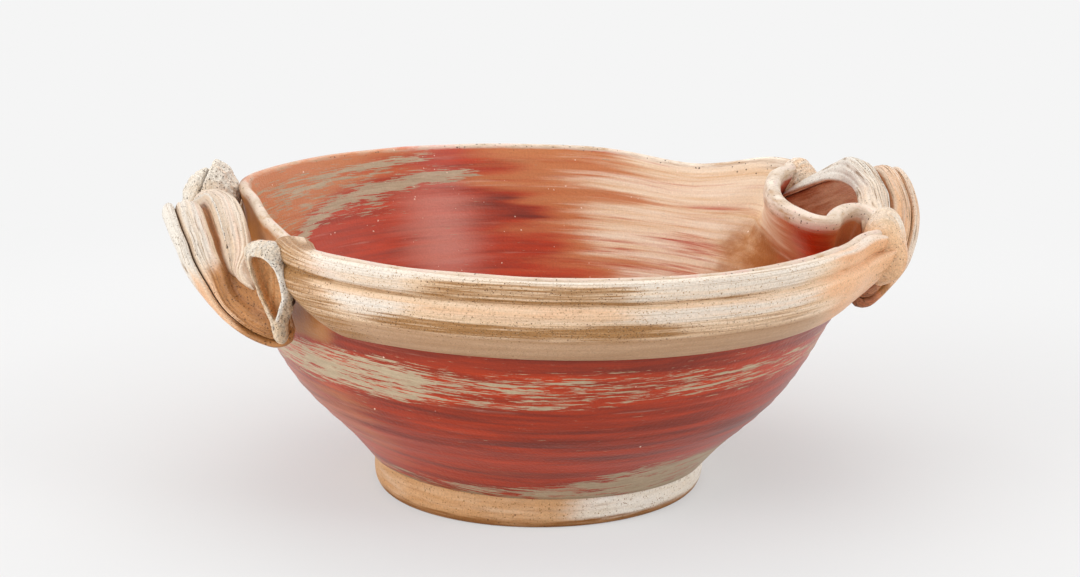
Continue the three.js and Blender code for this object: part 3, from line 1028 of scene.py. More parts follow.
    def _inside(self, back: np.ndarray, height: np.ndarray) -> dict[str, np.ndarray]:
        """Masks of the inside.

        Args:
            back: Turn from the front, from 0 to 360 degrees, with the back at 180.
            height: Height in the round bowl, in millimetres.

        Returns:
            Masks by name.
        """
        turns = (188, 196, 205, 215, 225, 235, 243, 250)
        low = np.interp(back, turns, (131, 131, 130, 127, 124, 117, 108, 104))
        high = np.interp(back, (200, 217, 225, 235, 246), (142, 139, 137, 133, 130))
        streak = 0.7 * between(back, 194, 250, 6) * bell(height - low, 0, 4.4)
        streak = np.maximum(streak, 0.6 * between(back, 203, 244, 6) * bell(height - high, 0, 3.4))
        dashes = 0.33 * between(back, 212, 275, 8) * between(height, 112, 143, 5)
        far = 0.3 * (1 - between(back, 70, 290, 20)) * between(height, 95, 135, 8)
        flow = np.column_stack([back * 0.25, np.zeros_like(back), height])
        drift = back + 15.0 * wander(flow, 9.0, 21.0) + 9.0 * wander(flow, 4.0, 22.0)
        above = ease(height + 8.0 * wander(flow, 7.0, 23.0), 35.0, 64.0)
        heights = (25, 60, 75, 90, 100, 115, 130, 147)
        edge = np.interp(height, heights, (152, 164, 169, 173, 179, 185, 189, 193))
        upper = between(drift, 214, 290, 14) * ease(height - low, -2.0, 9.0)
        orange = 0.7 * upper + 0.74 * (1 - ease(drift - edge, -12, 17)) * ease(back, 94, 104)
        orange = np.maximum(orange, 0.5 * (1 - between(back, 60, 300, 20)) * ease(height, 95, 125))
        orange = np.maximum(orange, 0.72 * between(back, 60, 94.5, 2.5) * ease(height, 108, 126))
        later = drift - edge + 12.0 * ease(height, 108, 126)
        cream = 0.92 * (1 - ease(later, -28, 4)) * ease(back, 96, 112)
        pocket = between(back, 78, 122, 8) * (1 - ease(height, 104, 124)) * above
        tails = 0.28 * between(drift, 140, 186, 14) + 0.16 * between(back, 112, 146, 10)
        tails = tails + 0.16 * between(drift, 140, 186, 12) * between(height, 66, 98, 8)
        toast = 0.78 * between(back, 113, 138, 8) * between(height, 86, 118, 8)
        dark = bell(drift, 194, 8) * bell(height, 112, 14)
        flame = 0.52 * between(drift, 140, 200, 16) + 0.36 * between(height, 40, 100, 20)
        flame = np.maximum(flame, 0.95 * between(back, 66, 100, 5) * ease(height, 90, 116))
        return {
            "dry": np.maximum.reduce([streak, dashes, far]),
            "flame": flame * (1 - 0.7 * dark) * (0.3 + 0.7 * above),
            "orange": np.maximum(orange * (1 - pocket) * above, 0.62 * pocket) * (1 - 0.7 * dark),
            "deep": 0.26 + 0.5 * dark,
            # Painted sheen: a pale pink band on the back of the inside, where a lamp's soft reflection
            # falls.
            "painted_sheen": 0.66 * between(back, 194, 214, 9) * between(height, 74, 126, 14),
            "cream": cream * (1 - pocket) * above,
            "tails": tails * (1 - pocket) * above,
            "toast": np.maximum(toast, 0.42 * pocket),
            "pinholes": 0.5 + 0.5 * between(back, 150, 215, 10),
        }


@dataclass
class FootRing:
    """The turned ring that the bowl stands on."""

    wall: Wall
    height: float = 16.0
    radius: float = 83.0
    swell: float = 3.2
    bevel: float = 4.5
    width: float = 12.0
    steps: int = 240

    def build(self) -> None:
        """Builds the ring and dresses it."""
        top = self.height + 4.4
        inner = self.radius - self.width
        outer = [
            (self.radius - 1.2, 0.0),
            (self.radius + 0.6, 0.7),
            (self.radius + self.swell * 0.62, self.bevel * 0.62),
            (self.radius + self.swell * 0.9, self.bevel * 1.25),
            (self.radius + self.swell, self.height * 0.58),
            (self.radius + self.swell * 0.98, self.height * 0.8),
            (self.radius + self.swell * 1.1, self.height),
            (self.radius + self.swell * 1.3, top),
        ]
        side = smooth_line(outer, 26)
        hidden = [(inner + 4, top), (inner - 3, top), (inner - 3.4, 9.0), (inner - 2.4, 3.0)]
        base = [(inner, 0.4), (inner + 1.4, 0.0), (inner + 6, 0.0), (self.radius - 1.2, 0.0)]
        profile = np.vstack([side, hidden, base])
        piece = spun_mesh("foot_ring_clay", profile, self.steps)
        points = corners_of(piece) / MM
        turn = np.degrees(np.arctan2(points[:, 1], points[:, 0]))
        uneven = 0.5 * wander(points, 45, 4.0) * ease(points[:, 2], 1.0, 5.0)
        distance = np.hypot(points[:, 0], points[:, 1])
        grain = points.copy()
        points[:, :2] *= (1 + uneven / distance)[:, None]
        press(piece, self.wall.settle(points, leans=False))
        paint(piece, grain, self._masks(from_front(turn), grain[:, 2]))
        hand_over(piece, BARE_CLAY, "foot_ring")

    def _masks(self, view: np.ndarray, height: np.ndarray) -> dict[str, np.ndarray]:
        """Paints where the flame passed.

        Args:
            view: Turn from the front.
            height: Height over the table.

        Returns:
            Masks of the bare clay.
        """
        return {
            "flame": 0.9 * between(view, -110, -20, 14) * ease(height, 2, 7) + 0.2,
            "pale": 0.95 * between(view, 14, 120, 14) * ease(height, 1, 6) + 0.18,
            "toast": 0.62 * (1 - ease(height, 1.5, 6.5)) + 0.16,
        }


class CollarSide(Enum):
    """Which half of the rim a collar runs along."""

    FRONT = "front_collar"
    BACK = "back_collar"


@dataclass
class Collar:
    """The thick rolled band luted outside the lip."""

    wall: Wall
    side: CollarSide
    span: tuple[float, float]  # turns of its two ends at the top
    slant: tuple[float, float]  # how far the ends move along it at the bottom
    knuckle: float  # swelling of its first end
    flare: float  # how far its second end swings out
    outline: tuple[tuple[float, float], ...] = (
        (-1.0, 1.0), (1.6, 1.3), (3.4, 3.4), (4.4, 6.6), (4.9, 9.6), (4.2, 11.0), (6.2, 12.4),
        (8.6, 15.0), (9.8, 19.0), (9.9, 23.0), (9.2, 28.0), (7.8, 33.0), (5.2, 38.0),
        (2.2, 41.2), (-1.2, 42.0),
    )
    lift: float = 0.0  # how far the lower roll climbs towards its second end
    around: int = 76
    along: int = 260
    end_lengths: tuple[float, float] = (18.0, 20.0)  # over which the ends round off
    middle_drop: float = 14.0  # where the ends come together
    hidden_points: int = 14  # of the outline, against the wall
    brush_radius: float = 165.0  # round which the streaks of its glaze run

    def build(self) -> None:
        """Builds the collar and dresses it."""
        count = self.hidden_points
        outer = smooth_line(self.outline, self.around - count)
        hidden = np.column_stack([np.full(count, -4.2), np.linspace(38.0, 3.4, count)])
        outline = np.vstack([outer, hidden])
        rod = rod_mesh(f"{self.side.value}_clay", self.around, self.along)
        share = np.arange(self.along + 1) / self.along
        share = 0.5 * share + 0.5 * (0.5 - 0.5 * np.cos(share * math.pi))
        out, drop = outline[:, 0][None, :], outline[:, 1][None, :]
        length = abs(self.span[1] - self.span[0]) * math.radians(self.wall.rim_radius)
        from_first = share[:, None] * length
        from_last = length - from_first
        fill = self._fill(from_first, from_last)
        tall = self.outline[-1][1]
        lowness = self.middle_drop / tall + (drop - self.middle_drop) / tall * fill
        first = self.span[0] + self.slant[0] * lowness
        last = self.span[1] + self.slant[1] * lowness
        turn = first + (last - first) * share[:, None]
        height, out = self._section(out, drop, from_first, from_last)
        height = height + self.wall.rise_at(turn, height)
        placed = self.wall.place(turn.ravel(), height.ravel(), out.ravel())
        points = rod.of_grid(placed.reshape(*turn.shape, 3))
        points += self._unevenness(points)
        press(rod.piece, self.wall.settle(points))
        angle = np.radians(turn)
        brush = self.brush_radius
        down = np.broadcast_to(-drop, turn.shape)
        grain = np.stack([brush * np.cos(angle), brush * np.sin(angle), down], axis=-1)
        view = from_front(rod.of_grid(turn))
        masks = self._masks(view, rod.of_section(outline[:, 1], 20.0), from_first[rod.ring, 0])
        paint(rod.piece, rod.of_grid(grain), masks)
        hand_over(rod.piece, COLLAR_GLAZE, self.side.value)

    def _fill(self, from_first: np.ndarray, from_last: np.ndarray) -> np.ndarray:
        """Rounds off the two ends.

        Args:
            from_first: Distance along from the first end.
            from_last: Distance along from the second end.

        Returns:
            Share of the full section, which falls to 0 at the ends.
        """
        first = 1 - np.clip(from_first / self.end_lengths[0], 0.0, 1.0)
        last = 1 - np.clip(from_last / self.end_lengths[1], 0.0, 1.0)
        return np.sqrt((1 - first**2) * (1 - last**2))

    def _section(
        self, out: np.ndarray, drop: np.ndarray, from_first: np.ndarray, from_last: np.ndarray
    ) -> tuple[np.ndarray, np.ndarray]:
        """Shapes the sections towards the two ends.

        Args:
            out: Outline, out from the wall.
            drop: Outline, down from the lip.
            from_first: Distance along from the first end.
            from_last: Distance along from the second end.

        Returns:
            Height and distance out from the wall of each corner.
        """
        swell = self.knuckle * (1 - ease(from_first, 4.0, 56.0))
        top = 1 - ease(drop, 3.0, 20.0)
        inner = 1 - ease(out, -2.0, 5.0)
        reach = out + swell * (0.75 * bell(drop, 9.0, 12.0) * (1 - inner) - 1.2 * top * inner)
        low = drop - swell * top * (0.95 - 0.5 * inner)
        near_last = 1 - ease(from_last, 0.0, 58.0)
        roll = ease(drop, 9.0, 18.0)
        reach = reach + np.where(out > 0, self.flare * near_last * (0.3 + 0.7 * roll), 0.0)
        low = low - self.lift * (1 - ease(from_last, 0.0, 50.0)) * roll
        fill = self._fill(from_first, from_last)
        depth = 3.0 + 0.5 * self.flare * near_last
        reach = depth + (reach - depth) * fill
        low = self.middle_drop + (low - self.middle_drop) * fill
        return self.wall.rim_height - low, reach

    def _unevenness(self, points: np.ndarray) -> np.ndarray:
        """Small hollows left by fingers.

        Args:
            points: Corners in millimetres.

        Returns:
            Moves of the corners.
        """
        swell = 0.35 * wander(points, 34, 6.0) + 0.12 * wander(points, 9, 7.0)
        outwards = points * (1, 1, 0)
        outwards /= np.linalg.norm(outwards, axis=1, keepdims=True)
        return outwards * swell[:, None]

    def _masks(self, view: np.ndarray, drop: np.ndarray, ends: np.ndarray) -> dict[str, np.ndarray]:
        """Paints where the salt settled and the flame toasted, and painted highlights on the bulge.

        Args:
            view: Turn from the front.
            drop: Distance down from the lip, over the surface.
            ends: Distance from the first end.

        Returns:
            Masks of the collar's glaze.
        """
        band = between(drop, 2.4, 11.0, 1.2)
        belt = between(drop, 21.0, 29.0, 3.0)
        bulge = between(drop, 13.0, 21.0, 2.5)
        right = between(view, 10, 50, 8)
        left = between(view, -50, -20, 6)
        hidden = 1 - between(view, -60, 70, 10)
        toast = 0.52 * band * between(view, -20, 14, 4) + 0.8 * belt * between(view, -28, 18, 8)
        toast = toast + 0.36 * belt * right + 0.45 * belt * hidden + 0.3 * band * hidden
        toast = toast + 0.56 * bell(drop, 11.2, 0.9) * (1 - ease(view, 30, 50))
        edge = 0.56 * (1 - ease(drop, 1.6, 4.0))
        # On the bulge, the white on its right and left sides is a painted highlight; the white on the
        # edge, on the band and on the hidden back is the salt's own.
        white = edge + 0.6 * band * right + 0.6 * bulge * right + 0.36 * bulge * left
        white = white + 0.42 * between(drop, 16, 27, 3) * left + 0.4 * bulge * hidden
        white = white + 0.58 * band * between(view, -42, -20, 5)
        near_end = (1 - ease(ends, 26, 52)) * float(self.knuckle > 0)
        low = 0.9 * ease(drop, 26.0, 31.0) * (1 - 0.7 * ease(view, 46, 62))
        return {
            "peach": 0.85 * ease(view, 46, 62) + 0.4 * between(drop, 11, 20, 3),
            "pink": 0.8 * band * between(view, -56, -34, 6) * (1 - 0.8 * near_end),
            "grey": np.maximum(low, 0.36 * between(drop, 13, 30, 3) * ease(-view, 26, 44)),
            "white": white * (1 - 0.9 * near_end),
            "toast": toast + 0.6 * near_end,
            "lines": 0.34 * (1 - 0.7 * ease(view, 46, 60)) * (1 - ease(drop, 30, 36)),
        }


class HandleSide(Enum):
    """Which handle a strap or an ear belongs to."""

    LEFT = "left"
    RIGHT = "right"


class StrapLayer(Enum):
    """Outer straps carry the handle, and inner straps lie on them."""

    OUTER = "outer_strap"
    INNER = "inner_strap"


# Sections of the straps: share of the width from the outer edge, height in millimetres.
OUTER_TOP = (
    (-0.035, 3.2), (-0.03, 5.8), (0.0, 7.8), (0.05, 8.8), (0.1, 8.2), (0.125, 6.6),
    (0.137, 5.0), (0.15, 6.8), (0.175, 8.6), (0.2, 9.2), (0.215, 8.8), (0.24, 9.7),
    (0.265, 9.6), (0.28, 9.1), (0.305, 9.9), (0.335, 9.7), (0.35, 9.2), (0.375, 9.5),
    (0.41, 9.3), (0.46, 8.5), (0.5, 7.0), (0.535, 5.6), (0.58, 4.9), (0.8, 4.8), (0.94, 4.4),
)
OUTER_BOTTOM = ((0.94, 0.6), (0.8, 0.0), (0.5, -0.2), (0.2, 0.0), (0.03, 0.4))
FLAT_INNER_TOP = (
    (0.55, 4.8), (0.565, 6.0), (0.585, 8.4), (0.605, 10.6), (0.625, 12.4), (0.642, 11.8),
    (0.66, 10.9), (0.685, 11.4), (0.71, 11.8), (0.745, 12.8), (0.765, 12.2), (0.785, 12.9),
    (0.82, 13.1), (0.84, 12.4), (0.86, 12.9), (0.9, 12.6), (0.92, 11.8), (0.94, 12.0),
    (0.975, 10.9), (1.01, 8.4), (1.03, 5.6),
)
FLAT_INNER_BOTTOM = ((1.0, 3.4), (0.85, 3.2), (0.7, 3.2), (0.58, 3.4))
HOOD_INNER_TOP = (
    (0.5, 4.4), (0.54, 5.4), (0.58, 8.0), (0.62, 10.4), (0.655, 11.6), (0.675, 10.8),
    (0.7, 11.6), (0.73, 12.5), (0.75, 11.8), (0.775, 12.5), (0.81, 13.4), (0.83, 12.7),
    (0.855, 13.4), (0.885, 13.8), (0.9, 13.1), (0.925, 13.6), (0.96, 13.0), (0.97, 12.0),
    (0.995, 11.8), (1.015, 10.2), (1.017, 9.0), (1.04, 7.8), (1.05, 6.0), (1.046, 4.8),
    (1.062, 3.4), (1.06, 0.8),
)
HOOD_INNER_BOTTOM = ((1.03, -0.6), (0.98, 0.6), (0.955, 3.2), (0.85, 3.3), (0.54, 3.4))


@dataclass
class Strap:
    """A pulled ribbon with ridges, from the back of a handle to its front."""

    wall: Wall
    side: HandleSide
    layer: StrapLayer
    reach: float
    drop: float
    outer_edge: tuple[tuple[float, float, float], ...]
    inner_edge: tuple[tuple[float, float, float], ...]
    span: tuple[float, float] = (0.0, 1.0)
    slant: float = 0.0  # how much sooner the outer side ends in front
    along: int = 190
    length: float = 220.0  # about, for the pace of its unevenness
    width: float = 40.0  # about, for the spacing of its section's points
    upper_points: int = 104
    lower_points: int = 16

    def build(self) -> None:
        """Builds the strap and dresses it."""
        outline = self._outline()
        name = f"{self.side.value}_{self.layer.value}"
        rod = rod_mesh(f"{name}_clay", len(outline), self.along)
        share = np.linspace(*self.span, self.along + 1)
        sooner = self.slant * np.clip((1.0 - outline[:, 0]) / 0.45, 0.0, 1.0)
        shares = share[:, None] - sooner[None, :] * ease(share, 0.4, self.span[1])[:, None]
        outer = self._edge(self.outer_edge, shares)
        inner = self._edge(self.inner_edge, shares)
        across = inner - outer
        along = np.gradient(outer, axis=0) + np.gradient(inner, axis=0)
        up = np.cross(across, along)
        up /= np.linalg.norm(up, axis=-1, keepdims=True)
        up *= np.where(up[..., :1] + up[..., 2:] < 0, -1.0, 1.0)
        place, height = self._ridges(outline, share)
        points = rod.of_grid(outer + across * place[..., None] + up * height[..., None])
        if self.side is HandleSide.LEFT:
            points = points * (-1, 1, 1)
        points += 0.3 * wander(points, 16, 9.0)[:, None] * np.array((0.6, 0.2, 0.8))
        press(rod.piece, self.wall.settle(points))
        steps = np.linalg.norm(np.diff(outer[:, 0], axis=0), axis=1)
        run = np.concatenate([[0.0], np.cumsum(steps)])
        width = np.linalg.norm(across, axis=-1).mean()
        at_place = rod.of_section(outline[:, 0], 0.5)
        grain = np.column_stack([run[rod.ring], np.zeros_like(at_place), at_place * width])
        top = rod.of_section(outline[:, 2], 0.0)
        paint(rod.piece, grain, self._masks(at_place, share[rod.ring], top))
        hand_over(rod.piece, STRAP_GLAZE, name)

    def _edge(self, rows: tuple, share: np.ndarray) -> np.ndarray:
        """An edge of the ribbon, in the right handle's place.

        Args:
            rows: Turn from the handle's middle towards the front, share of the reach
                out from the wall, and share of the drop up from the lip.
            share: Places along the edge, from 0 at the back to 1 at the front.

        Returns:
            Points of the edge.
        """
        points = []
        for angle, out, up in rows:
            height = self.wall.rim_height + up * self.drop
            radius = float(self.wall.radius_at(np.array(height))) + out * self.reach
            turn = math.radians(angle)
            points.append((radius * math.cos(turn), -radius * math.sin(turn), height))
        line = smooth_line(points, 600)
        return follow(line, np.linspace(0.0, 1.0, len(line)), share)

    def _outline(self) -> np.ndarray:
        """The ribbon's section.

        Returns:
            Share across, height over the underside, and 1 on the upper face.
        """
        if self.layer is StrapLayer.OUTER:
            upper, lower = OUTER_TOP, OUTER_BOTTOM
        elif self.side is HandleSide.LEFT:
            upper, lower = FLAT_INNER_TOP, FLAT_INNER_BOTTOM
        else:
            upper, lower = HOOD_INNER_TOP, HOOD_INNER_BOTTOM
        scale = np.array((self.width, 1.0))
        top = smooth_line(np.asarray(upper) * scale, self.upper_points) / scale
        bottom = smooth_line(np.asarray(lower) * scale, self.lower_points) / scale
        is_top = np.concatenate([np.ones(len(top)), np.zeros(len(bottom))])
        return np.column_stack([np.vstack([top, bottom]), is_top])

    def _ridges(self, outline: np.ndarray, share: np.ndarray) -> tuple[np.ndarray, np.ndarray]:
        """Lets the ridges waver along the ribbon, and closes its ends.

        Args:
            outline: The ribbon's section.
            share: Places along the ribbon.

        Returns:
            Share across and height, by place along and corner of the section.
        """
        seed = 11.0 if self.side is HandleSide.LEFT else 13.0
        still = np.zeros_like(share)
        steps = np.column_stack([share * self.length, still, still])
        waver = 0.012 * wander(steps, 26, seed) + 0.004 * wander(steps, 7, seed + 1)
        tear = 0.9 * np.abs(wander(steps, 2.6, seed + 2))
        tear = tear + 0.5 * np.abs(wander(steps, 6.0, seed + 3))
        place = outline[None, :, 0] + waver[:, None] * outline[None, :, 2]
        height = np.broadcast_to(outline[None, :, 1], place.shape).copy()
        if self.layer is StrapLayer.INNER and self.side is HandleSide.LEFT:
            torn = bell(outline[:, 0], 0.627, 0.016) * outline[:, 2]
            height += (0.9 - 1.7 * tear)[:, None] * torn[None, :]
            place = place + (0.014 * wander(steps, 4.0, seed + 4))[:, None] * torn[None, :]
        ends = np.minimum(share - share[0], share[-1] - share) * self.length
        fill = np.sqrt(1 - (1 - np.clip(ends / 13.0, 0.0, 1.0)) ** 2)[:, None]
        low = outline[:, 1].min()
        middle = 0.78 if self.layer is StrapLayer.INNER else 0.5
        height = low + (height - low) * (0.35 + 0.65 * fill)
        place = middle + (place - middle) * (0.35 + 0.65 * fill)
        return place, height

    def _masks(self, place: np.ndarray, front: np.ndarray, top: np.ndarray) -> dict[str, np.ndarray]:
        """Paints ridges, grooves and the amber foot.

        Args:
            place: Share across.
            front: Place along, from 0 at the back to 1 at the front.
            top: 1 on the upper face.

        Returns:
            Masks of the strap's glaze.
        """
        left = self.side is HandleSide.LEFT
        ridge = 0.627 if left else 0.657
        crest = 0.9 * between(place, -0.3, 0.115, 0.02)
        crest = np.maximum(crest, 0.62 * between(place, 0.17, 0.4, 0.03))
        crest = np.maximum(crest, 0.95 * bell(place, ridge, 0.02))
        crest = np.maximum(crest, 0.48 * between(place, 0.68, 0.96, 0.04))
        groove = between(place, 0.485, ridge - 0.045, 0.025)
        under = 1 - top
        if left:
            lower = ease(front, 0.62, 0.76)
            burnt = np.zeros_like(front)
            outer = float(self.layer is StrapLayer.OUTER)
            amber = outer * lower * between(place, 0.24, 1.2, 0.08)
            amber = np.maximum(amber, outer * ease(front, 0.8, 0.92))
            peach = 0.7 * outer * lower + 0.25 * between(place, 0.7, 0.9, 0.05)
        else:
            lower = ease(front, 0.8, 0.92)
            burnt = ease(front, 0.9, 0.95)
            amber = 0.9 * ease(front, 0.84, 0.92)
            peach = 0.6 * (1 - ease(place, 0.4, 0.5)) + 0.3 * ease(front, 0.5, 0.7)
            inner = 0.85 * ease(place, 0.72, 0.82) * (1 - 0.4 * ease(front, 0.5, 0.7))
            crest = np.maximum(crest, inner) * (1 - 0.4 * (1 - ease(place, 0.4, 0.5)))
        torn = float(left and self.layer is StrapLayer.INNER)
        return {
            "pink": 0.5 * between(place, 0.3, 0.44, 0.03) + 0.4 * between(place, 0.7, 0.86, 0.05),
            "peach": np.maximum(peach, 0.8 * under),
            "amber": amber * (1 - under * float(left)),
            "groove": np.maximum(groove * top * (1 - 0.5 * lower), 0.3 * under),
            "rust": np.maximum(0.62 * under * float(not left), burnt),
            "white": 0.86 * crest * top * (1 - 0.85 * lower),
            "lines": 0.36 * top * (1 - 0.6 * lower),
            "line": np.maximum(0.85 * bell(place, 0.137, 0.011) * top, 0.46 * burnt),
            "tear": bell(place, ridge + 0.01, 0.012) * top * torn,
        }


class EarForm(Enum):
    """How the end of a handle is folded."""

    SCOOP = "scoop"
    KNOB = "knob"
    LOBE = "lobe"
    HUMP = "hump"


@dataclass
class Ear:
    """A fold of clay over the end of a handle."""

    wall: Wall
    node: str
    form: EarForm
    size: tuple[float, float, float]  # deep, wide and high
    turn: float  # of its middle
    face: float  # turn that its front faces
    out: float  # of its middle, from the wall
    drop: float  # of its middle, from the lip
    tilt: float
    segments: int = 192
    rings: int = 128

    def build(self) -> None:
        """Builds the ear and dresses it."""
        piece, ball = ball_mesh(f"{self.node}_clay", self.segments, self.rings)
        local, masks = self._fold(ball)
        points = local * np.array(self.size) / 2
        points += self._crust(ball, points)
        angle = math.radians(self.tilt)
        turned = points.copy()
        turned[:, 1] = points[:, 1] * math.cos(angle) - points[:, 2] * math.sin(angle)
        turned[:, 2] = points[:, 1] * math.sin(angle) + points[:, 2] * math.cos(angle)
        turn, face = math.radians(self.turn), math.radians(self.face)
        at = self.wall.rim_height - self.drop
        radius = float(self.wall.radius_at(np.array(at))) + self.out
        placed = np.column_stack(
            [
                radius * math.cos(turn) + turned[:, 0] * math.cos(face) - turned[:, 1] * math.sin(face),
                radius * math.sin(turn) + turned[:, 0] * math.sin(face) + turned[:, 1] * math.cos(face),
                turned[:, 2] + at,
            ]
        )
        press(piece, self.wall.settle(placed))
        grain = np.column_stack([points[:, 2], points[:, 0] * 0.4, points[:, 1]])
        paint(piece, grain, masks)
        hand_over(piece, FOLD_GLAZE, self.node)

    def _crust(self, ball: np.ndarray, points: np.ndarray) -> np.ndarray:
        """Unevenness of the salt crust, as moves of the corners.

        Args:
            ball: Directions from the middle.
            points: Corners in millimetres.

        Returns:
            Moves in millimetres.
        """
        rough = {EarForm.LOBE: 0.35, EarForm.KNOB: 1.5}.get(self.form, 0.8)
        swell = 0.9 * wander(points, 11, self.turn) + 0.5 * wander(points, 4.0, self.turn + 1)
        creases = np.abs(wander(points, 3.2, self.turn + 2))
        creases = creases + 0.6 * np.abs(wander(points, 1.5, self.turn + 3))
        return ball * (rough * (swell + 0.35 - 0.9 * creases))[:, None]

    def _fold(self, ball: np.ndarray) -> tuple[np.ndarray, dict[str, np.ndarray]]:
        """Presses the ball into the fold's form.

        Args:
            ball: Corners of a ball of radius 1: out, along the rim and up.

        Returns:
            Pressed corners, and the masks of the fold's glaze.
        """
        forms = {
            EarForm.SCOOP: self._scoop,
            EarForm.KNOB: self._knob,
            EarForm.LOBE: self._lobe,
            EarForm.HUMP: self._hump,
        }
        none = np.zeros(len(ball))
        masks = {"ash": none + 0.35, "hollow": none, "white": none + 0.3, "line": none, "peach": none}
        local, own = forms[self.form](ball)
        masks.update(own)
        return local, masks

    def _scoop(self, ball: np.ndarray) -> tuple[np.ndarray, dict[str, np.ndarray]]:
        """A leaf folded over: a thick rolled top and right edge round a narrow hollow.

        Args:
            ball: Corners of a ball of radius 1: out, along the rim and up.

        Returns:
            Pressed corners, and the masks that differ from plain clay.
        """
        out, along, up = ball.T
        ring = np.sqrt(np.maximum(1 - up**2, 1e-6))
        side, front = along / ring, out / ring
        close = np.sqrt(1 - np.abs(up) ** 12)
        steps = (-1.0, -0.94, -0.62, -0.31, 0.0, 0.31, 0.67, 0.94, 1.0)
        middle = np.interp(up, steps, (0.44, 0.44, 0.38, 0.36, 0.28, 0.14, -0.06, -0.16, -0.16))
        width = np.interp(up, steps, (0.2, 0.24, 0.28, 0.48, 0.68, 0.78, 0.82, 0.76, 0.7)) * close
        depth = np.interp(up, steps, (0.4, 0.42, 0.55, 0.72, 0.86, 0.98, 1.0, 0.96, 0.9)) * close
        facing = ease(front, 0.0, 0.25)
        low = np.interp(up, (-0.5, -0.25, 0.2, 0.76), (-0.3, -0.62, -0.82, -0.62))
        turns = (-0.5, -0.35, -0.04, 0.25, 0.54, 0.7, 0.78)
        high = np.interp(up, turns, (-0.15, 0.1, 0.4, 0.42, 0.36, 0.2, 0.0))
        inside = ease(side, low, low + 0.16) * (1 - ease(side, high - 0.1, high + 0.12))
        inside = inside * between(up, -0.46, 0.74, 0.05) * facing
        rim = bell(side - high, 0.25, 0.21) * facing * between(up, -0.5, 0.8, 0.1)
        edge = bell(side, -0.97, 0.1) * between(up, -0.6, 0.7, 0.1)
        deep = depth * (front - 1.05 * inside) + 0.2 * rim
        deep = deep + 0.14 * ease(up, 0.65, 0.85) * facing * close
        masks = {
            "hollow": 0.95 * ease(inside, 0.1, 0.5),
            "white": np.maximum.reduce([0.5 * ease(up, 0.55, 0.75), 0.9 * rim, 0.75 * edge]),
            "ash": (1 - inside) * (0.3 + 0.16 * ease(side, 0.4, 0.9) + 0.1 * ease(up, 0.6, 0.8)),
            "peach": 0.8 * ease(-front, 0.0, 0.5),
            "line": 0.9 * between(side, 0.95, 1.2, 0.03) * between(up, -0.25, 0.6, 0.12),
        }
        return np.column_stack([deep, middle + width * side, up]), masks

    def _knob(self, ball: np.ndarray) -> tuple[np.ndarray, dict[str, np.ndarray]]:
        """A rough lump with a crack down its side.

        Args:
            ball: Corners of a ball of radius 1: out, along the rim and up.

        Returns:
            Pressed corners, and the masks that differ from plain clay.
        """
        out, along, up = ball.T
        line = 0.09 + 0.38 * (0.78 - up)
        crack = bell(out - line, 0.0, 0.09) * ease(along, -0.5, 0.1)
        lower = ease(out - line, -0.05, 0.15)
        local = ball * (1 - 0.3 * crack)[:, None]
        local[:, 2] -= 0.2 * lower * ease(up, -0.2, 0.6)
        masks = {
            "white": np.full(len(ball), 0.62),
            "ash": np.full(len(ball), 0.24),
            "line": 0.9 * ease(crack, 0.5, 0.85),
            "peach": 0.7 * ease(-out, 0.1, 0.6) + 0.4 * ease(-up, 0.1, 0.6),
        }
        return local, masks

    def _lobe(self, ball: np.ndarray) -> tuple[np.ndarray, dict[str, np.ndarray]]:
        """A smooth thumb of clay that rises from the collar's lower roll.

        Args:
            ball: Corners of a ball of radius 1: out, along the rim and up.

        Returns:
            Pressed corners, and the masks that differ from plain clay.
        """
        out, along, up = ball.T
        ahead = ease(-along, 0.0, 0.6) * ease(-up, -0.6, 0.4)
        local = ball.copy()
        local[:, 0] = out * (1 - 0.3 * ease(-up, 0.1, 0.9) * (1 - ahead))
        local[:, 0] += 0.36 * ahead * ease(out, -0.3, 0.5) - 0.1 * ease(-up, 0.2, 0.9) * (1 - ahead)
        local[:, 1] = np.sign(along) * np.abs(along) ** 0.85 * (1 + 0.14 * ahead)
        masks = {
            # The white rising to the top and the outward face of the lobe is a painted highlight.
            "white": (0.3 + 0.22 * ease(up, 0.3, 0.9) + 0.12 * ease(out, 0.3, 0.8)) * (1 - 0.7 * ahead),
            "ash": np.full(len(ball), 0.05),
            "peach": 0.8 - 0.4 * ease(up, 0.2, 0.9),
        }
        return local, masks

    def _hump(self, ball: np.ndarray) -> tuple[np.ndarray, dict[str, np.ndarray]]:
        """A rounded fold that leans out.

        Args:
            ball: Corners of a ball of radius 1: out, along the rim and up.

        Returns:
            Pressed corners, and the masks that differ from plain clay.
        """
        up = ball[:, 2]
        local = ball.copy()
        local[:, 0] += 0.15 * ease(up, -0.2, 0.8)
        masks = {
            "white": 0.5 * ease(up, 0.0, 0.6),
            "ash": np.full(len(ball), 0.15),
            "peach": np.full(len(ball), 0.6),
        }
        return local, masks


@dataclass
class Handle:
    """One handle: two straps and the ears over their ends."""

    straps: tuple[Strap, ...]
    ears: tuple[Ear, ...]

    def build(self) -> None:
        """Builds every piece of the handle."""
        for piece in (*self.straps, *self.ears):
            piece.build()


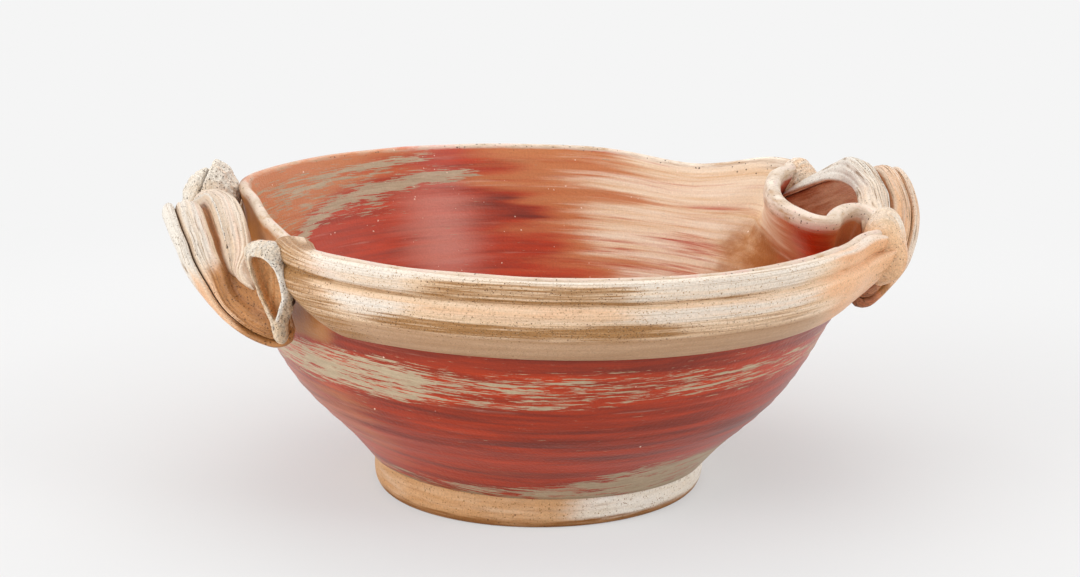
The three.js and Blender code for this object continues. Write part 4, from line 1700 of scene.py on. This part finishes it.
def left_handle(wall: Wall) -> Handle:
    """The left handle, with its folded scoop in front and its knob behind.

    Args:
        wall: The wall that it is luted to.

    Returns:
        The handle, ready to build.
    """
    outer = (
        (-26.6, 0.15, -1.0), (-20.6, 0.5, -0.9), (-14.5, 0.78, -0.6), (-8.0, 0.98, -0.24),
        (-3.5, 1.0, -0.15), (0.0, 1.0, -0.22), (3.5, 1.0, -0.37), (7.9, 1.02, -0.6),
        (14.5, 0.87, -0.88), (20.6, 0.58, -1.03), (26.6, 0.2, -1.08),
    )
    inner = (
        (-26.0, 0.09, -0.12), (-20.0, 0.03, -0.08), (-13.2, 0.0, -0.1), (-9.0, -0.2, -0.12),
        (-3.7, -0.3, -0.18), (1.9, -0.31, -0.27), (7.4, -0.23, -0.4), (11.0, -0.13, -0.46),
        (16.4, 0.08, -0.5), (21.0, 0.12, -0.5), (26.0, 0.1, -0.52),
    )
    straps = tuple(
        Strap(wall, HandleSide.LEFT, layer, 28.0, 49.0, outer, inner, span, slant)
        for layer, span, slant in (
            (StrapLayer.OUTER, (0.0, 1.0), 0.0),
            (StrapLayer.INNER, (0.1, 0.88), 0.13),
        )
    )
    ears = (
        Ear(wall, "left_front_ear", EarForm.SCOOP, (22, 27, 49), 206.6, 246.0, 12.0, 23.5, 0.0),
        Ear(wall, "left_back_ear", EarForm.KNOB, (30, 28, 42), 157.0, 157.0, 11.3, 8.5, 0.0),
    )
    return Handle(straps, ears)


def right_handle(wall: Wall) -> Handle:
    """The right handle, with a smooth lobe in front and a hump behind.

    Args:
        wall: The wall that it is luted to.

    Returns:
        The handle, ready to build.
    """
    outer = (
        (-26.3, 0.3, -1.0), (-20.5, 0.59, -0.95), (-14.3, 0.97, -0.7), (-7.7, 1.06, -0.28),
        (-3.5, 1.01, 0.05), (0.0, 1.0, 0.15), (3.5, 1.01, 0.05), (7.7, 1.06, -0.28),
        (13.6, 0.94, -0.72), (18.8, 0.54, -1.02), (23.2, 0.18, -1.18),
    )
    inner = (
        (-26.0, 0.0, -0.4), (-21.0, -0.02, -0.3), (-16.0, 0.0, -0.13), (-10.0, 0.03, 0.05),
        (-5.0, 0.06, 0.12), (0.0, 0.06, 0.12), (5.0, 0.0, 0.06), (10.0, -0.1, -0.02),
        (15.4, -0.12, -0.12), (19.2, -0.1, -0.2), (23.0, 0.0, -0.3),
    )
    straps = tuple(
        Strap(wall, HandleSide.RIGHT, layer, 29.0, 40.0, outer, inner, span)
        for layer, span in ((StrapLayer.OUTER, (0.0, 1.0)), (StrapLayer.INNER, (0.06, 0.9)))
    )
    ears = (
        Ear(wall, "right_front_ear", EarForm.LOBE, (22, 30, 40), -24.4, -24.4, 9.5, 11.0, -10.0),
        Ear(wall, "right_back_ear", EarForm.HUMP, (25, 28, 42), 24.0, 24.0, 16.0, 15.0, 0.0),
    )
    return Handle(straps, ears)


@dataclass(frozen=True)
class SoftBox:
    """A square lamp that faces the bowl."""

    name: str
    at: tuple[float, float, float]  # metres
    size: float  # of its side, in metres
    power: float  # watts
    aim: tuple[float, float, float] = (0.0, 0.0, 0.08)

    def hang(self) -> None:
        """Hangs the lamp and turns it to the bowl."""
        bpy.ops.object.light_add(type="AREA", location=self.at)
        lamp = bpy.context.active_object
        lamp.name = self.name
        lamp.data.size = self.size
        lamp.data.energy = self.power
        aim = Vector(self.aim) - Vector(self.at)
        lamp.rotation_euler = aim.to_track_quat("-Z", "Y").to_euler()


@dataclass
class Studio:
    """A pale seamless floor, soft boxes and the camera."""

    camera_at: tuple[float, float, float] = (-319.1, -1220.2, 421.1)
    camera_aim: tuple[float, float, float] = (-3.6, -0.2, 101.6)
    lens: float = 83.56
    floor_colour: str = "#efeeed"  # as it lights the bowl
    seen_colour: str = "#d6d6d6"  # as the camera exposes it
    far_colour: str = "#f5f5f5"
    paper_share: float = 0.4  # of the far white that the camera sees close to the bowl
    paper_reach: tuple[float, float] = (0.16, 0.72)  # metres, from that share to full white
    floor_size: float = 12.0  # metres
    room_light: float = 0.82  # strength of the white room, where it isn't seen
    lamps: tuple[SoftBox, ...] = (
        SoftBox("top_box", (0.0, 0.1, 1.7), 1.6, 5.0),
        SoftBox("back_box", (0.0, 0.9, 1.5), 1.4, 14.0),
        SoftBox("left_box", (-1.5, -0.45, 0.4), 1.2, 15.0),
        SoftBox("right_box", (1.6, -0.1, 0.45), 1.2, 6.0),
        SoftBox("front_box", (0.8, -1.2, 1.0), 0.6, 4.5, (0.0, 0.0, 0.1)),
    )

    def build(self) -> None:
        """Builds the whole studio."""
        self._camera()
        self._floor()
        self._world()
        for lamp in self.lamps:
            lamp.hang()
        bpy.context.scene.view_settings.view_transform = "Standard"

    def _camera(self) -> None:
        """Sets the camera at the photograph's viewing angle."""
        bpy.ops.object.camera_add(location=Vector(self.camera_at) * MM)
        camera = bpy.context.active_object
        aim = Vector(self.camera_aim) * MM - camera.location
        camera.rotation_euler = aim.to_track_quat("-Z", "Y").to_euler()
        camera.data.sensor_width = 36.0
        camera.data.lens = self.lens
        bpy.context.scene.camera = camera

    def _floor(self) -> None:
        """Lays the floor, shaded near the bowl and white far from it."""
        bpy.ops.mesh.primitive_plane_add(size=self.floor_size)
        floor = bpy.context.active_object
        floor.name = "studio_floor"
        material = bpy.data.materials.new("matt paper floor")
        material.use_nodes = True
        nodes = Nodes(material.node_tree)
        seen = nodes.background_rays()
        colour = nodes.blend(seen, linear(self.floor_colour), linear(self.seen_colour))
        lit = nodes.add("ShaderNodeBsdfDiffuse", {"Color": colour, "Roughness": 1.0})
        paper = nodes.add("ShaderNodeEmission", {"Color": linear(self.far_colour)})
        away = nodes.add("ShaderNodeVectorMath", {0: nodes.spot()}, operation="LENGTH")
        far = nodes.spread(
            away.outputs["Value"],
            *self.paper_reach,
            self.paper_share,
            interpolation_type="SMOOTHSTEP",
        )
        share = nodes.math("MULTIPLY", seen, far)
        mixed = nodes.add("ShaderNodeMixShader", {0: share, 1: lit.outputs[0], 2: paper.outputs[0]})
        nodes.add("ShaderNodeOutputMaterial", {"Surface": mixed.outputs[0]})
        floor.data.materials.append(material)

    def _world(self) -> None:
        """Lights the room evenly, with a white background for the camera."""
        world = bpy.data.worlds.new("studio")
        bpy.context.scene.world = world
        world.use_nodes = True
        nodes = Nodes(world.node_tree)
        strength = nodes.spread(nodes.background_rays(), 0.0, 1.0, self.room_light)
        white = {"Color": linear("#ffffff"), "Strength": strength}
        back = nodes.add("ShaderNodeBackground", white)
        nodes.add("ShaderNodeOutputWorld", {"Surface": back.outputs[0]})


def main() -> None:
    """Builds the studio and the bowl."""
    logging.basicConfig(level=logging.INFO, format="%(message)s")
    Studio().build()
    wall = Wall()
    parts = (
        BowlBody(wall),
        FootRing(wall),
        Collar(wall, CollarSide.FRONT, (201.5, 330.5), (12.0, 9.0), 6.5, 1.0, lift=11.0),
        Collar(wall, CollarSide.BACK, (31.5, 150.5), (-2.0, 2.0), 0.0, 0.0),
        left_handle(wall),
        right_handle(wall),
    )
    for part in parts:
        part.build()


if __name__ == "__main__":
    main()
